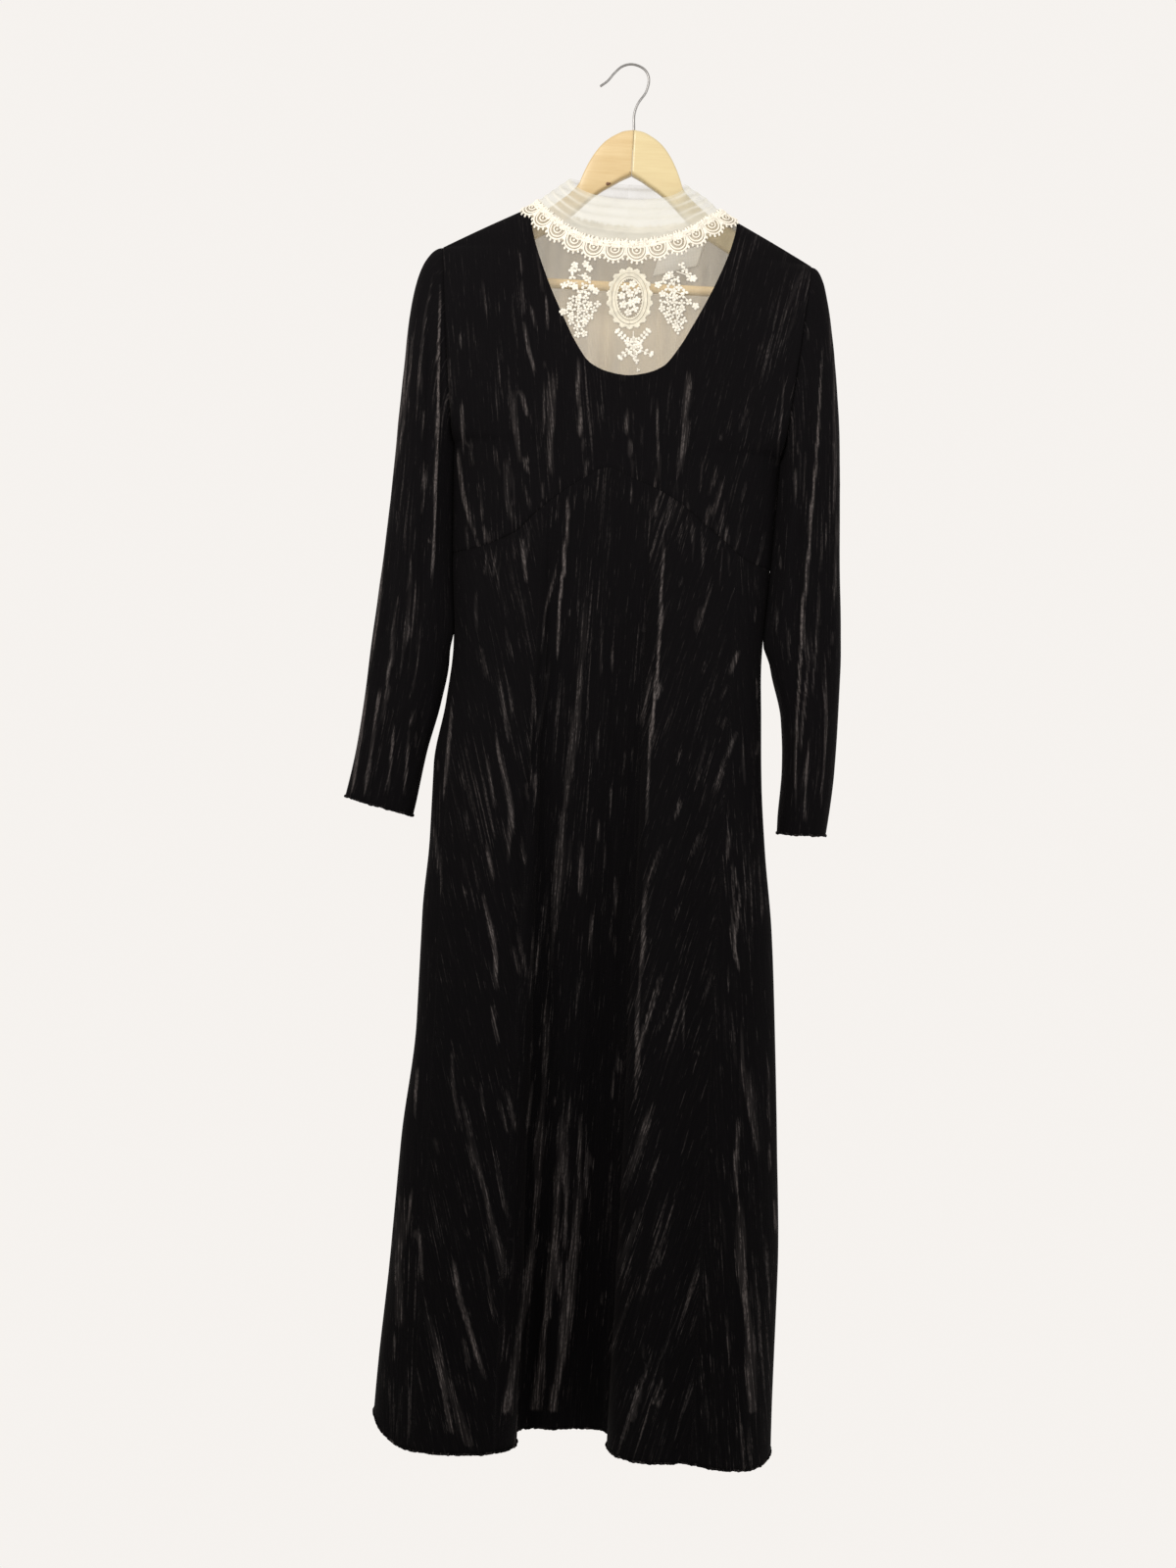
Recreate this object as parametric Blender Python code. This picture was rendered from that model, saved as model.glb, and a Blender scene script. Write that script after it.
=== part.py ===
"""A long velvet dress with a net yoke and a tucked collar, hung on a wooden hanger.

Sizes and tables are in millimetres; the meshes are made in metres.
+Z is up, +X is to the right seen from the front and +Y points away from the front.
The origin is the inside top of the hanger's hook.
"""

import math

import bpy
import numpy as np

for existing in list(bpy.data.objects):
    bpy.data.objects.remove(existing, do_unlink=True)

MM = 0.001

# Walls and the gap between sewn pieces
VELVET_WALL = 2.0
NET_WALL = 1.0
CHIFFON_WALL = 1.1
LACE_WALL = 1.3
MOTIF_WALL = 1.0
LABEL_WALL = 1.0
SEAM_GAP = 0.3
CLEAR = 0.4

# How far the middle of the hanger lies to the right of the top of its hook
HANG_SHIFT = 5.5

# Shoulders and armholes
SHOULDER_HALF = 205.0
SHOULDER_END = -213.0
UNDERARM = -430.0
UNDERARM_HALF = 183.0
ARMHOLE_DEPTH = 38.0
ARMHOLE_CLOSING = 60.0
SHOULDER_FALL = 110.0
SHOULDER_ROUND = 1.8
SECTION_ROUND = 2.6

# A column or row counts as lying on a side seam from this share of the way, and on the
# shoulder ridge within this distance; walls there face upwards at least by this share
AT_SIDE = 0.9999
NEAR_RIDGE = 0.5
RIDGE_UPWARD = 0.5

# Number of columns between the shoulder corners and beside them, and of rows down the skirt
SIDE_COLUMNS = 7
YOKE_COLUMNS = 20
BACK_SIDE_COLUMNS = 6
BACK_YOKE_COLUMNS = 8
FRONT_SKIRT_ROWS = 15
BACK_SKIRT_ROWS = 13
YOKE_ROWS = 6

# Shares of the way from the top edge to the empire seam, one per row of the bodice
BODICE_ROWS = (0, 0.006, 0.028, 0.075, 0.15, 0.26, 0.38, 0.49, 0.575, 0.62, 0.6345, 0.8, 1)
UNDERARM_ROW = 10

# The shoulder line: distance from the middle, height
SHOULDER_LINE = ((0, -120), (60, -138), (104, -160.4), (113, -165), (160, -189), (205, -213))

# The two edges of the dress below the underarm: height, left, right
SIDES = (
    (-1560, 216, 229),
    (-1468, 213, 227),
    (-1329, 205, 226),
    (-1203, 200, 219),
    (-1073, 190, 210),
    (-955, 190, 200),
    (-867, 186, 188),
    (-789, 186, 180),
    (-719, 176, 176),
    (-657, 171, 173),
    (-555, 178, 178),
    (-430, 183, 183),
)

# How far the middle of the front and of the back stand out: height, front, back
DEPTHS = (
    (-1560, 46, 60),
    (-1100, 46, 54),
    (-750, 47, 48),
    (-560, 50, 45),
    (-450, 52, 45),
    (-350, 48, 42),
    (-250, 43, 38),
    (-150, 38, 34),
)

# The edge of the velvet round the front yoke and the back yoke: across, height
NECKLINE = (
    (-111.0, -164.0),
    (-105, -199),
    (-87, -250),
    (-67, -292),
    (-50, -323),
    (-35, -342),
    (-15, -351),
    (5, -354),
    (25, -351),
    (45, -342),
    (60, -323),
    (77, -292),
    (97, -250),
    (115, -199),
    (121.0, -169.2),
)
NECK_LEFT = -111.0
NECK_RIGHT = 121.0

# The seam between collar and yoke: across, height at the front, height at the back
NECK_SEAM = (
    (-104, -160.4, -160.4),
    (-98, -169, -164),
    (-83, -184, -168),
    (-63, -199, -172),
    (-44, -208, -175),
    (-21, -211.5, -177),
    (6, -211.5, -178),
    (35, -205, -176),
    (62, -193.5, -172),
    (84, -177, -167),
    (98, -166, -163),
    (104, -160.4, -160.4),
)
NECK_HALF = 104.0

# The empire seam: across, height
EMPIRE_SEAM = (
    (-178, -555),
    (-150, -549),
    (-107, -531),
    (-86, -510),
    (-66, -492),
    (-36, -470),
    (-9, -456),
    (18, -466),
    (46, -477),
    (76, -494),
    (97, -511),
    (120, -527),
    (150, -549),
    (178, -556),
)
SEAM_HALF = 178.0
BACK_SEAM_HEIGHT = -548.0

# The front of the skirt, a row per fold or fold side: across at the seam, across at the hem,
# and how far back the hem lies there
FRONT_FOLDS = (
    (-178.0, -216, 0),
    (-174, -209, -26),
    (-160, -186, -48),
    (-140, -158, -62),
    (-118, -126, -67),
    (-96.4, -92, -60),
    (-82, -65, -42),
    (-74, -54, -12),
    (-69, -60, 18),
    (-58, -46, 42),
    (-34, -14, 34),
    (-2, 18, 44),
    (24, 41, 46),
    (38, 53, 22),
    (43, 46, -8),
    (52, 55, -40),
    (68, 80, -58),
    (88, 110, -56),
    (105.1, 132, -48),
    (126, 158, -60),
    (146, 188, -64),
    (163, 212, -46),
    (174, 226, -22),
    (178.0, 229, 0),
)
FRONT_CORNERS = (5, 18)

# The back of the skirt in the same way
BACK_FOLDS = (
    (-178.0, -216, 0),
    (-172, -207, 34),
    (-156, -182, 66),
    (-134, -150, 88),
    (-113, -122, 84),
    (-96.4, -94, 69),
    (-64, -60, 76),
    (-38, -34, 92),
    (-16, -12, 88),
    (0.0, 0, 80),
    (18, 16, 84),
    (44, 46, 94),
    (74, 82, 84),
    (105.1, 116, 70),
    (124, 144, 82),
    (144, 174, 92),
    (160, 202, 70),
    (173, 222, 34),
    (178.0, 229, 0),
)
BACK_CORNERS = (5, 9, 13)

# Height of the hem: share of the way to the side, height
HEM_LEVEL = -1540.0
HEM = (
    (-1, -1510),
    (-0.93, -1526),
    (-0.8, -1536),
    (-0.3, -1536),
    (0, -1532),
    (0.3, -1536),
    (0.8, -1538),
    (0.93, -1538),
    (1, -1531),
)
FOLD_GROWTH = 0.9
ROW_CROWDING = 1.15

# Sleeve rings from the armhole to the cuff: outer edge across and height, inner edge across
# and height, half the depth
LEFT_SLEEVE = (
    (205.3, -213, 183.3, -430, 38),
    (214, -217.5, 183.8, -434, 39),
    (224, -230, 183.6, -440, 40),
    (232, -252, 183.3, -448, 41),
    (238, -290, 182.9, -460, 42),
    (241, -345, 182.3, -478, 43),
    (244, -400, 181.4, -502, 44),
    (247, -470, 179.8, -535, 43),
    (252, -545, 177.7, -575, 40),
    (258, -615, 174.2, -625, 36),
    (262.5, -665, 174.4, -672, 33),
    (266.5, -720, 181.5, -722, 30),
    (272.5, -776, 194, -776, 27),
    (280, -818, 203, -832, 23),
    (282.5, -830, 206, -848, 21),
)
RIGHT_SLEEVE = (
    (205.3, -213, 183.3, -430, 38),
    (212, -217.5, 183.8, -434, 39),
    (219, -230, 183.6, -440, 40),
    (225, -252, 183.3, -448, 41),
    (232, -290, 182.9, -460, 42),
    (240, -345, 182.3, -478, 43),
    (246, -400, 181.4, -502, 44),
    (250, -470, 179.8, -535, 43),
    (254, -545, 178.0, -575, 41),
    (259, -615, 175.8, -622, 38),
    (261, -665, 184, -667, 36),
    (261, -720, 198, -720, 35),
    (260, -776, 202, -776, 34),
    (256, -828, 200, -828, 33),
    (254, -846, 200, -846, 32),
)
SLEEVE_BLEND = 4
SLEEVE_FULLNESS = 0.9

# The collar: its top ring, how much it swells and its pin tucks
COLLAR_TOP_MIDDLE = -3.0
COLLAR_TOP_HALF = 63.0
COLLAR_TOP_DEPTH = 31.0
COLLAR_TOP_SIDE = -129.0
COLLAR_FRONT_DIP = 29.0
COLLAR_BACK_RISE = 5.0
COLLAR_SWELL = 2.5
COLLAR_LIFT = 0.6
COLLAR_TALL = 53.0
COLLAR_COLUMNS = 30
TUCKS = 5
TUCK_RELIEF = 1.0

# The lace over the collar seam: how far it reaches on the collar and down to the scallops
SCALLOPS = 22
SCALLOP_STEPS = 5
LACE_ABOVE = 4.0
LACE_MIDDLE = 9.0
LACE_SHALLOW = 14.5
LACE_DEEP = 21.5
LACE_LIFT = 0.5
LACE_ON_TUCKS = 1.4
LACE_RIDGE_LIFT = 1.7
SHOULDER_RUN = 0.89
SHOULDER_DROP = 0.45
RIDGE_REACH = 0.28
SCALLOP_ROUND = 0.7

# Embroidery on the front yoke: name, across, height, half-width, half-height, lobes,
# depth of the lobes, taper to the bottom
MOTIFS = (
    ("medallion_flower", 4.7, -269.5, 9.0, 18.0, 5, 0.16, 0.0),
    ("sprig", 14.0, -321.0, 20.0, 15.0, 6, 0.30, 0.0),
    ("spray_left", -44.0, -272.0, 17.0, 36.0, 11, 0.14, 0.42),
    ("spray_right", 52.0, -270.0, 18.0, 37.0, 11, 0.14, 0.42),
)
MOTIF_POINTS = 36
MEDALLION = (4.7, -269.5, 25.6, 34.4)
MEDALLION_LOBES = 18
MEDALLION_BAND = 0.58
MEDALLION_SCALLOP = 0.05

# The label inside the back of the neck
LABEL_ACROSS = 58.0
LABEL_HEIGHT = -207.0
LABEL_LONG = 52.0
LABEL_TALL = 24.0
LABEL_TILT = math.radians(-15)

# The wooden hanger: distance from its middle, top edge, bottom edge, half-thickness
HANGER_ARM = (
    (0.15, -72.5, -123, 8.0),
    (10, -74, -128, 7.6),
    (21, -79, -135, 7.1),
    (32, -87, -142, 6.8),
    (41, -98, -149, 6.5),
    (48, -110, -155.5, 6.3),
    (54, -123.5, -161.5, 6.1),
    (58, -134.5, -165.5, 6.0),
    (80, -156, -185, 6.0),
    (100, -169.6, -197, 6.0),
    (120, -178.6, -208, 6.0),
    (135, -184.8, -215, 6.0),
    (165, -198.6, -231, 6.0),
    (190, -212, -257, 6.2),
    (204, -220.4, -259, 6.0),
    (212, -229, -251, 4.6),
)
ARM_CORNER = 5.4
ARM_POINTS = 12
HOOK_HOLE_RADIUS = 1.7
HOOK_HOLE = (-60.0, -93.3)
BAR_SIDES = 16
BAR_HEIGHT = -247.0
BAR_RADIUS = 5.5
BAR_SHOULDER = 174.0
TENON_RADIUS = 3.4
TENON_END = 197.0
SOCKET_RADIUS = 3.8
SOCKET = (165.0, 197.4)

# The wire hook: its path across and up, from the wood to the tip
HOOK_WIRE = 1.35
HOOK_PATH = (
    (5.5, -93.0),
    (5.5, -72),
    (5.0, -54),
    (8.5, -42),
    (17.0, -28),
    (19.0, -13),
    (13.5, -3.5),
    (0.0, 1.35),
    (-11.0, -1.5),
    (-19.5, -9.5),
    (-26.5, -18.5),
    (-34.5, -25.0),
)
HOOK_STEPS = 3
HOOK_SIDES = 8


def column(table, index):
    return np.array([row[index] for row in table], float)


def eased(places, xs, ys):
    """Values at the places on a smooth curve through (xs, ys) that never overshoots."""
    xs = np.asarray(xs, float)
    ys = np.asarray(ys, float)
    step = np.diff(xs)
    slope = np.diff(ys) / step
    same = slope[:-1] * slope[1:] > 0
    both = np.where(same, slope[:-1] + slope[1:], 1.0)
    inner = np.where(same, 2 * slope[:-1] * slope[1:] / both, 0.0)
    tangent = np.concatenate([slope[:1], inner, slope[-1:]])
    places = np.clip(places, xs[0], xs[-1])
    i = np.clip(np.searchsorted(xs, places) - 1, 0, len(step) - 1)
    t = (places - xs[i]) / step[i]
    rise = ys[i] * (1 + 2 * t) * (1 - t) ** 2 + ys[i + 1] * (3 - 2 * t) * t**2
    lean = tangent[i] * t * (1 - t) ** 2 + tangent[i + 1] * t**2 * (t - 1)
    return rise + lean * step[i]


def rounded(places, knots, values, start, end):
    """Values on a rounded curve through the knots, with phantom values before and after."""
    gaps = np.diff(knots)
    gaps = np.concatenate([gaps[:1], gaps, gaps[-1:]])
    values = np.concatenate([[start], values, [end]])
    slope = np.diff(values) / gaps
    tangent = (slope[:-1] * gaps[1:] + slope[1:] * gaps[:-1]) / (gaps[1:] + gaps[:-1])
    i = np.clip(np.searchsorted(knots, places) - 1, 0, len(knots) - 2)
    step = knots[i + 1] - knots[i]
    t = (places - knots[i]) / step
    ys = values[1:-1]
    rise = ys[i] * (1 + 2 * t) * (1 - t) ** 2 + ys[i + 1] * (3 - 2 * t) * t**2
    lean = tangent[i] * t * (1 - t) ** 2 + tangent[i + 1] * t**2 * (t - 1)
    return rise + lean * step


def shoulder_height(x):
    return eased(np.abs(x), column(SHOULDER_LINE, 0), column(SHOULDER_LINE, 1))


def half_width(z, side):
    """Distance from the middle to the edge of the dress, side 1 on the left and 2 on the right."""
    below = eased(z, column(SIDES, 0), column(SIDES, side))
    share = np.clip((SHOULDER_END - z) / (SHOULDER_END - UNDERARM), 0, 1)
    beside = SHOULDER_HALF + (UNDERARM_HALF - SHOULDER_HALF) * share
    return np.where(z > UNDERARM, beside, below)


def edge(share, z):
    return np.where(share < 0, half_width(z, 1), half_width(z, 2))


def shoulder_rise(drop):
    """Share of the full depth that the cloth has reached this far below the shoulder line."""
    left = 1 - np.clip(drop / SHOULDER_FALL, 0, 1)
    return (1 - left**SHOULDER_ROUND) ** (1 / SHOULDER_ROUND)


def armhole_depth(z):
    closing = np.clip((z - UNDERARM) / ARMHOLE_CLOSING, 0, 1)
    return ARMHOLE_DEPTH * shoulder_rise(SHOULDER_END - z) * np.sqrt(1 - (1 - closing) ** 2)


def body_depth(x, z, face):
    """How far the front (face -1) or the back (face 1) of the dress stands out."""
    share = np.clip(np.abs(x) / edge(x, z), 0, 1)
    full = eased(z, column(DEPTHS, 0), column(DEPTHS, 1 if face < 0 else 2))
    at_edge = armhole_depth(z)
    across = (1 - share**SECTION_ROUND) ** (1 / SECTION_ROUND)
    fall = shoulder_rise(shoulder_height(x) - z)
    return face * (at_edge + (full * fall - at_edge) * across)


def body_normal(x, z, face):
    """The direction straight out of the front or the back of the bodice."""
    step = 0.4
    in_x = (body_depth(x + step, z, face) - body_depth(x - step, z, face)) / (2 * step)
    in_z = (body_depth(x, z + step, face) - body_depth(x, z - step, face)) / (2 * step)
    normal = np.stack([-face * in_x, face * np.ones_like(in_x), -face * in_z], -1)
    return unit(normal)


def unit(vectors):
    return vectors / np.maximum(np.linalg.norm(vectors, axis=-1, keepdims=True), 1e-9)


def grid_normals(points, outward):
    """Normals of a grid of points [row, column], turned to the side of the outward hints."""
    down = unit(np.gradient(points, axis=0))
    along = unit(np.gradient(points, axis=1))
    normal = unit(np.cross(down, along))
    turn = np.sign((normal * outward).sum(-1, keepdims=True).mean())
    return normal * turn


def material(name, colour, roughness):
    made = bpy.data.materials.new(name)
    made.use_nodes = True
    shader = made.node_tree.nodes["Principled BSDF"]
    shader.inputs["Base Color"].default_value = (*colour, 1)
    shader.inputs["Roughness"].default_value = roughness
    return made


VELVET = material("velvet", (0.012, 0.011, 0.013), 0.9)
NET = material("net", (0.62, 0.58, 0.50), 0.8)
CHIFFON = material("chiffon", (0.80, 0.76, 0.64), 0.7)
LACE = material("lace", (0.84, 0.80, 0.68), 0.8)
LABEL = material("label", (0.82, 0.80, 0.74), 0.7)
WOOD = material("wood", (0.72, 0.50, 0.26), 0.45)
STEEL = material("steel", (0.60, 0.60, 0.60), 0.3)
STEEL.node_tree.nodes["Principled BSDF"].inputs["Metallic"].default_value = 1.0


def add_mesh(name, points, faces, surface, shift=HANG_SHIFT):
    """A closed mesh from points in millimetres, with its faces turned outwards."""
    points = np.asarray(points, float).copy()
    points[:, 0] += shift
    six_volumes = 0.0
    for face in faces:
        for k in range(1, len(face) - 1):
            corner = points[[face[0], face[k], face[k + 1]]]
            six_volumes += np.linalg.det(corner)
    if six_volumes < 0:
        faces = [tuple(reversed(face)) for face in faces]
    mesh = bpy.data.meshes.new(name)
    mesh.from_pydata((points * MM).tolist(), [], faces)
    mesh.materials.append(surface)
    made = bpy.data.objects.new(name, mesh)
    bpy.context.collection.objects.link(made)
    return made


def add_wall(name, outer, inner, surface, ring=False):
    """A cloth wall from its outer and inner grids [row, column]; a ring closes on itself."""
    rows, columns = outer.shape[:2]
    size = rows * columns

    def at(row, place):
        return row * columns + place % columns

    faces = []
    for row in range(rows - 1):
        for place in range(columns if ring else columns - 1):
            a = at(row, place)
            b = at(row + 1, place)
            c = at(row + 1, place + 1)
            d = at(row, place + 1)
            faces.append((a, b, c, d))
            faces.append((size + d, size + c, size + b, size + a))
    for place in range(columns if ring else columns - 1):
        a = at(0, place)
        b = at(0, place + 1)
        faces.append((a, b, size + b, size + a))
        a = at(rows - 1, place)
        b = at(rows - 1, place + 1)
        faces.append((b, a, size + a, size + b))
    if not ring:
        for row in range(rows - 1):
            a = at(row, 0)
            b = at(row + 1, 0)
            faces.append((b, a, size + a, size + b))
            a = at(row, columns - 1)
            b = at(row + 1, columns - 1)
            faces.append((a, b, size + b, size + a))
    points = np.concatenate([outer.reshape(-1, 3), inner.reshape(-1, 3)])
    return add_mesh(name, points, faces, surface)


class Folds:
    """The plan of one face of the skirt, from its table of folds."""

    def __init__(self, table, corners, counts):
        self.seam = column(table, 0) / SEAM_HALF
        hem_x = column(table, 1)
        self.hem = hem_x / edge(hem_x, HEM_LEVEL)
        self.back = column(table, 2)
        away = np.hypot(np.diff(hem_x), np.diff(self.back))
        self.knots = np.concatenate([[0], np.cumsum(np.sqrt(away))])
        stops = self.knots[[0, *corners, -1]]
        parts = [
            np.linspace(low, high, count + 1)[:-1]
            for low, high, count in zip(stops[:-1], stops[1:], counts)
        ]
        self.places = np.concatenate([*parts, stops[-1:]])
        self.share = eased(self.places, self.knots, self.seam)

    def hem_plan(self):
        across = rounded(self.places, self.knots, self.hem, self.hem[1], self.hem[-2])
        away = rounded(self.places, self.knots, self.back, -self.back[1], -self.back[-2])
        return np.clip(across, -1, 1), away


FRONT = Folds(FRONT_FOLDS, FRONT_CORNERS, (SIDE_COLUMNS, YOKE_COLUMNS, SIDE_COLUMNS))
BACK = Folds(
    BACK_FOLDS,
    BACK_CORNERS,
    (BACK_SIDE_COLUMNS, BACK_YOKE_COLUMNS, BACK_YOKE_COLUMNS, BACK_SIDE_COLUMNS),
)
BACK_MIDDLE = BACK_SIDE_COLUMNS + BACK_YOKE_COLUMNS


def empire_height(x, face):
    front = eased(x, column(EMPIRE_SEAM, 0), column(EMPIRE_SEAM, 1))
    at_side = eased(np.sign(x) * SEAM_HALF, column(EMPIRE_SEAM, 0), column(EMPIRE_SEAM, 1))
    lift = (1 - (np.abs(x) / SEAM_HALF) ** 2) * (BACK_SEAM_HEIGHT - at_side)
    return front if face < 0 else at_side + lift


def neckline_height(x):
    inside = eased(x, column(NECKLINE, 0), column(NECKLINE, 1))
    return np.where((x <= NECK_LEFT) | (x >= NECK_RIGHT), shoulder_height(x), inside)


def top_edge(share):
    """Across and height of the bodice's top edge in each column."""
    z = np.full_like(share, SHOULDER_END)
    for _ in range(8):
        z = neckline_height(share * edge(share, z))
    return share * edge(share, z), z


def bodice_points(share, face):
    _, top = top_edge(share)
    seam = empire_height(share * SEAM_HALF, face) + SEAM_GAP / 2
    rows = np.array(BODICE_ROWS)[:, None]
    z = top + (seam - top) * rows
    x = share * edge(np.broadcast_to(share, z.shape), z)
    return np.stack([x, body_depth(x, z, face), z], -1)


def flattened(normals, axis):
    """Normals with one component taken out."""
    normals = normals.copy()
    normals[..., axis] = 0
    return unit(normals)


def armhole_frame(side):
    """The direction square to the plane of an armhole."""
    run = side * (UNDERARM_HALF - SHOULDER_HALF)
    return unit(np.array([UNDERARM - SHOULDER_END, 0, -run]))


def bodice_normals(points, share, face):
    normals = body_normal(points[..., 0], points[..., 2], face)
    on_ridge = np.abs(points[0, :, 2] - shoulder_height(points[0, :, 0])) < NEAR_RIDGE
    ridge = normals[0].copy()
    ridge[:, 1] = 0
    ridge[:, 2] = np.maximum(ridge[:, 2], RIDGE_UPWARD)
    normals[0] = np.where(on_ridge[:, None], unit(ridge), normals[0])
    for place, value in enumerate(share):
        if abs(value) > AT_SIDE:
            square = armhole_frame(np.sign(value))
            beside = normals[: UNDERARM_ROW + 1, place]
            beside = beside - (beside @ square)[:, None] * square
            normals[: UNDERARM_ROW + 1, place] = unit(beside)
            normals[UNDERARM_ROW:, place] = (np.sign(value), 0, 0)
    return normals


def seam_apart(points, share, face):
    """Draws the side edges and the shoulder edge back from the pieces that they are sewn to."""
    points = points.copy()
    for place, value in enumerate(share):
        if abs(value) > AT_SIDE:
            points[:, place, 1] = np.where(
                np.abs(points[:, place, 1]) < SEAM_GAP / 2,
                face * SEAM_GAP / 2,
                points[:, place, 1],
            )
    on_ridge = np.abs(points[0, :, 2] - shoulder_height(points[0, :, 0])) < NEAR_RIDGE
    points[0, :, 1] = np.where(on_ridge, face * SEAM_GAP / 2, points[0, :, 1])
    return points


def halves(points, normals, middle):
    """The left and right halves of a back panel, with a seam's gap between them."""
    parts = []
    for side, chosen in ((-1, slice(None, middle + 1)), (1, slice(middle, None))):
        place = -1 if side < 0 else 0
        part = points[:, chosen].copy()
        part[:, place, 0] = side * SEAM_GAP / 2
        facing = normals[:, chosen].copy()
        facing[:, place] = flattened(facing[:, place], 0)
        parts.append((part, facing))
    return parts


def skirt_points(folds, rows, face):
    share = folds.share
    hem_share, hem_back = folds.hem_plan()
    t = (np.linspace(0, 1, rows) ** ROW_CROWDING)[:, None]
    growth = t**FOLD_GROWTH
    blend = share + (hem_share - share) * growth
    seam = empire_height(share * SEAM_HALF, face) - SEAM_GAP / 2
    hem = eased(hem_share, column(HEM, 0), column(HEM, 1))
    z = seam + (hem - seam) * t
    x = blend * edge(blend, z)
    base = body_depth(np.clip(share, -1, 1) * edge(blend, z) * 0.99999, z, face)
    base = np.where(np.abs(share) > AT_SIDE, face * SEAM_GAP / 2, base)
    y = base * (1 - growth) + hem_back * growth
    y = np.where(np.abs(share) > AT_SIDE, face * SEAM_GAP / 2, y)
    return np.stack([x, y, z], -1)


def skirt_normals(points, share, face):
    normals = grid_normals(points, np.array([0, face, 0]))
    top = body_normal(points[0, :, 0], points[0, :, 2], face)
    normals[0] = top
    for place, value in enumerate(share):
        if abs(value) > AT_SIDE:
            normals[:, place] = (np.sign(value), 0, 0)
    return normals


# Bodice
front_bodice = seam_apart(bodice_points(FRONT.share, -1), FRONT.share, -1)
front_facing = bodice_normals(front_bodice, FRONT.share, -1)
add_wall("bodice_front", front_bodice, front_bodice - VELVET_WALL * front_facing, VELVET)

back_bodice = seam_apart(bodice_points(BACK.share, 1), BACK.share, 1)
back_facing = bodice_normals(back_bodice, BACK.share, 1)
for word, (part, facing) in zip(("left", "right"), halves(back_bodice, back_facing, BACK_MIDDLE)):
    add_wall(f"bodice_back_{word}", part, part - VELVET_WALL * facing, VELVET)

# Skirt
front_skirt = skirt_points(FRONT, FRONT_SKIRT_ROWS, -1)
facing = skirt_normals(front_skirt, FRONT.share, -1)
add_wall("skirt_front", front_skirt, front_skirt - VELVET_WALL * facing, VELVET)

back_skirt = skirt_points(BACK, BACK_SKIRT_ROWS, 1)
back_skirt_facing = skirt_normals(back_skirt, BACK.share, 1)
back_halves = halves(back_skirt, back_skirt_facing, BACK_MIDDLE)
for word, (part, facing) in zip(("left", "right"), back_halves):
    add_wall(f"skirt_back_{word}", part, part - VELVET_WALL * facing, VELVET)


def sleeve_rings(table, side):
    """Outer points [ring, place] of a sleeve; the first ring follows the armhole's edge."""
    heights = np.concatenate([
        front_bodice[: UNDERARM_ROW + 1, 0, 2],
        back_bodice[1:UNDERARM_ROW, 0, 2][::-1],
    ])
    faces = np.array([-1.0] * (UNDERARM_ROW + 1) + [1.0] * (UNDERARM_ROW - 1))
    along = (SHOULDER_END - heights) / (SHOULDER_END - UNDERARM)
    along[0] = 0
    along[UNDERARM_ROW] = 1
    armhole = armhole_depth(SHOULDER_END - along * (SHOULDER_END - UNDERARM)) / ARMHOLE_DEPTH
    armhole[[0, UNDERARM_ROW]] = 0
    front_angles = np.linspace(0, math.pi, UNDERARM_ROW + 1)
    angles = np.concatenate([front_angles, front_angles[1:-1][::-1]])
    rings = []
    for number, (outer_x, outer_z, inner_x, inner_z, depth) in enumerate(table):
        blend = min(1.0, number / SLEEVE_BLEND)
        tube = (1 - np.cos(angles)) / 2
        place = along * (1 - blend) + tube * blend
        swell = armhole * (1 - blend) + np.sin(angles) ** SLEEVE_FULLNESS * blend
        x = side * (outer_x + (inner_x - outer_x) * place)
        z = outer_z + (inner_z - outer_z) * place
        rings.append(np.stack([x, faces * depth * swell, z], -1))
    return np.array(rings)


for word, side, table in (("left", -1, LEFT_SLEEVE), ("right", 1, RIGHT_SLEEVE)):
    rings = sleeve_rings(table, side)
    looped = np.concatenate([rings[:, -1:], rings, rings[:, :1]], axis=1)
    middle = rings.mean(axis=1, keepdims=True)
    down = unit(np.gradient(looped, axis=0))
    along = unit(np.gradient(looped, axis=1))
    normals = unit(np.cross(down, along))[:, 1:-1]
    normals *= np.sign((normals * (rings - middle)).sum(-1).mean())
    square = armhole_frame(side)
    first = normals[0] - (normals[0] @ square)[:, None] * square
    normals[0] = unit(first)
    add_wall(f"sleeve_{word}", rings, rings - VELVET_WALL * normals, VELVET, ring=True)


def yoke_points(share, face):
    """Outer points of a yoke, from the collar seam (first row) to the velvet's edge."""
    x, z = top_edge(share)
    run = np.gradient(x)
    rise = np.gradient(z)
    length = np.hypot(run, rise)
    low_x = x - rise / length * SEAM_GAP
    low_z = z + run / length * SEAM_GAP
    angle = np.linspace(-math.pi / 2, math.pi / 2, len(share))
    up_x = NECK_HALF * np.sin(angle)
    up_z = neck_seam_height(up_x, face)
    low_x[0] = x[0] + SEAM_GAP
    low_x[-1] = x[-1] - SEAM_GAP
    low_z[0] = shoulder_height(low_x[0])
    low_z[-1] = shoulder_height(low_x[-1])
    rows = np.linspace(0, 1, YOKE_ROWS)[:, None]
    x = up_x + (low_x - up_x) * rows
    z = up_z + (low_z - up_z) * rows
    z[:, 0] = shoulder_height(x[:, 0])
    z[:, -1] = shoulder_height(x[:, -1])
    y = body_depth(x, z, face)
    y[:, 0] = face * SEAM_GAP / 2
    y[:, -1] = face * SEAM_GAP / 2
    return np.stack([x, y, z], -1)


def neck_seam_height(x, face):
    return eased(x, column(NECK_SEAM, 0), column(NECK_SEAM, 1 if face < 0 else 2))


def yoke_normals(points, face):
    normals = body_normal(points[..., 0], points[..., 2], face)
    for place in (0, -1):
        ridge = normals[:, place].copy()
        ridge[:, 1] = 0
        ridge[:, 2] = np.maximum(ridge[:, 2], RIDGE_UPWARD)
        normals[:, place] = unit(ridge)
    return normals


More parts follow.
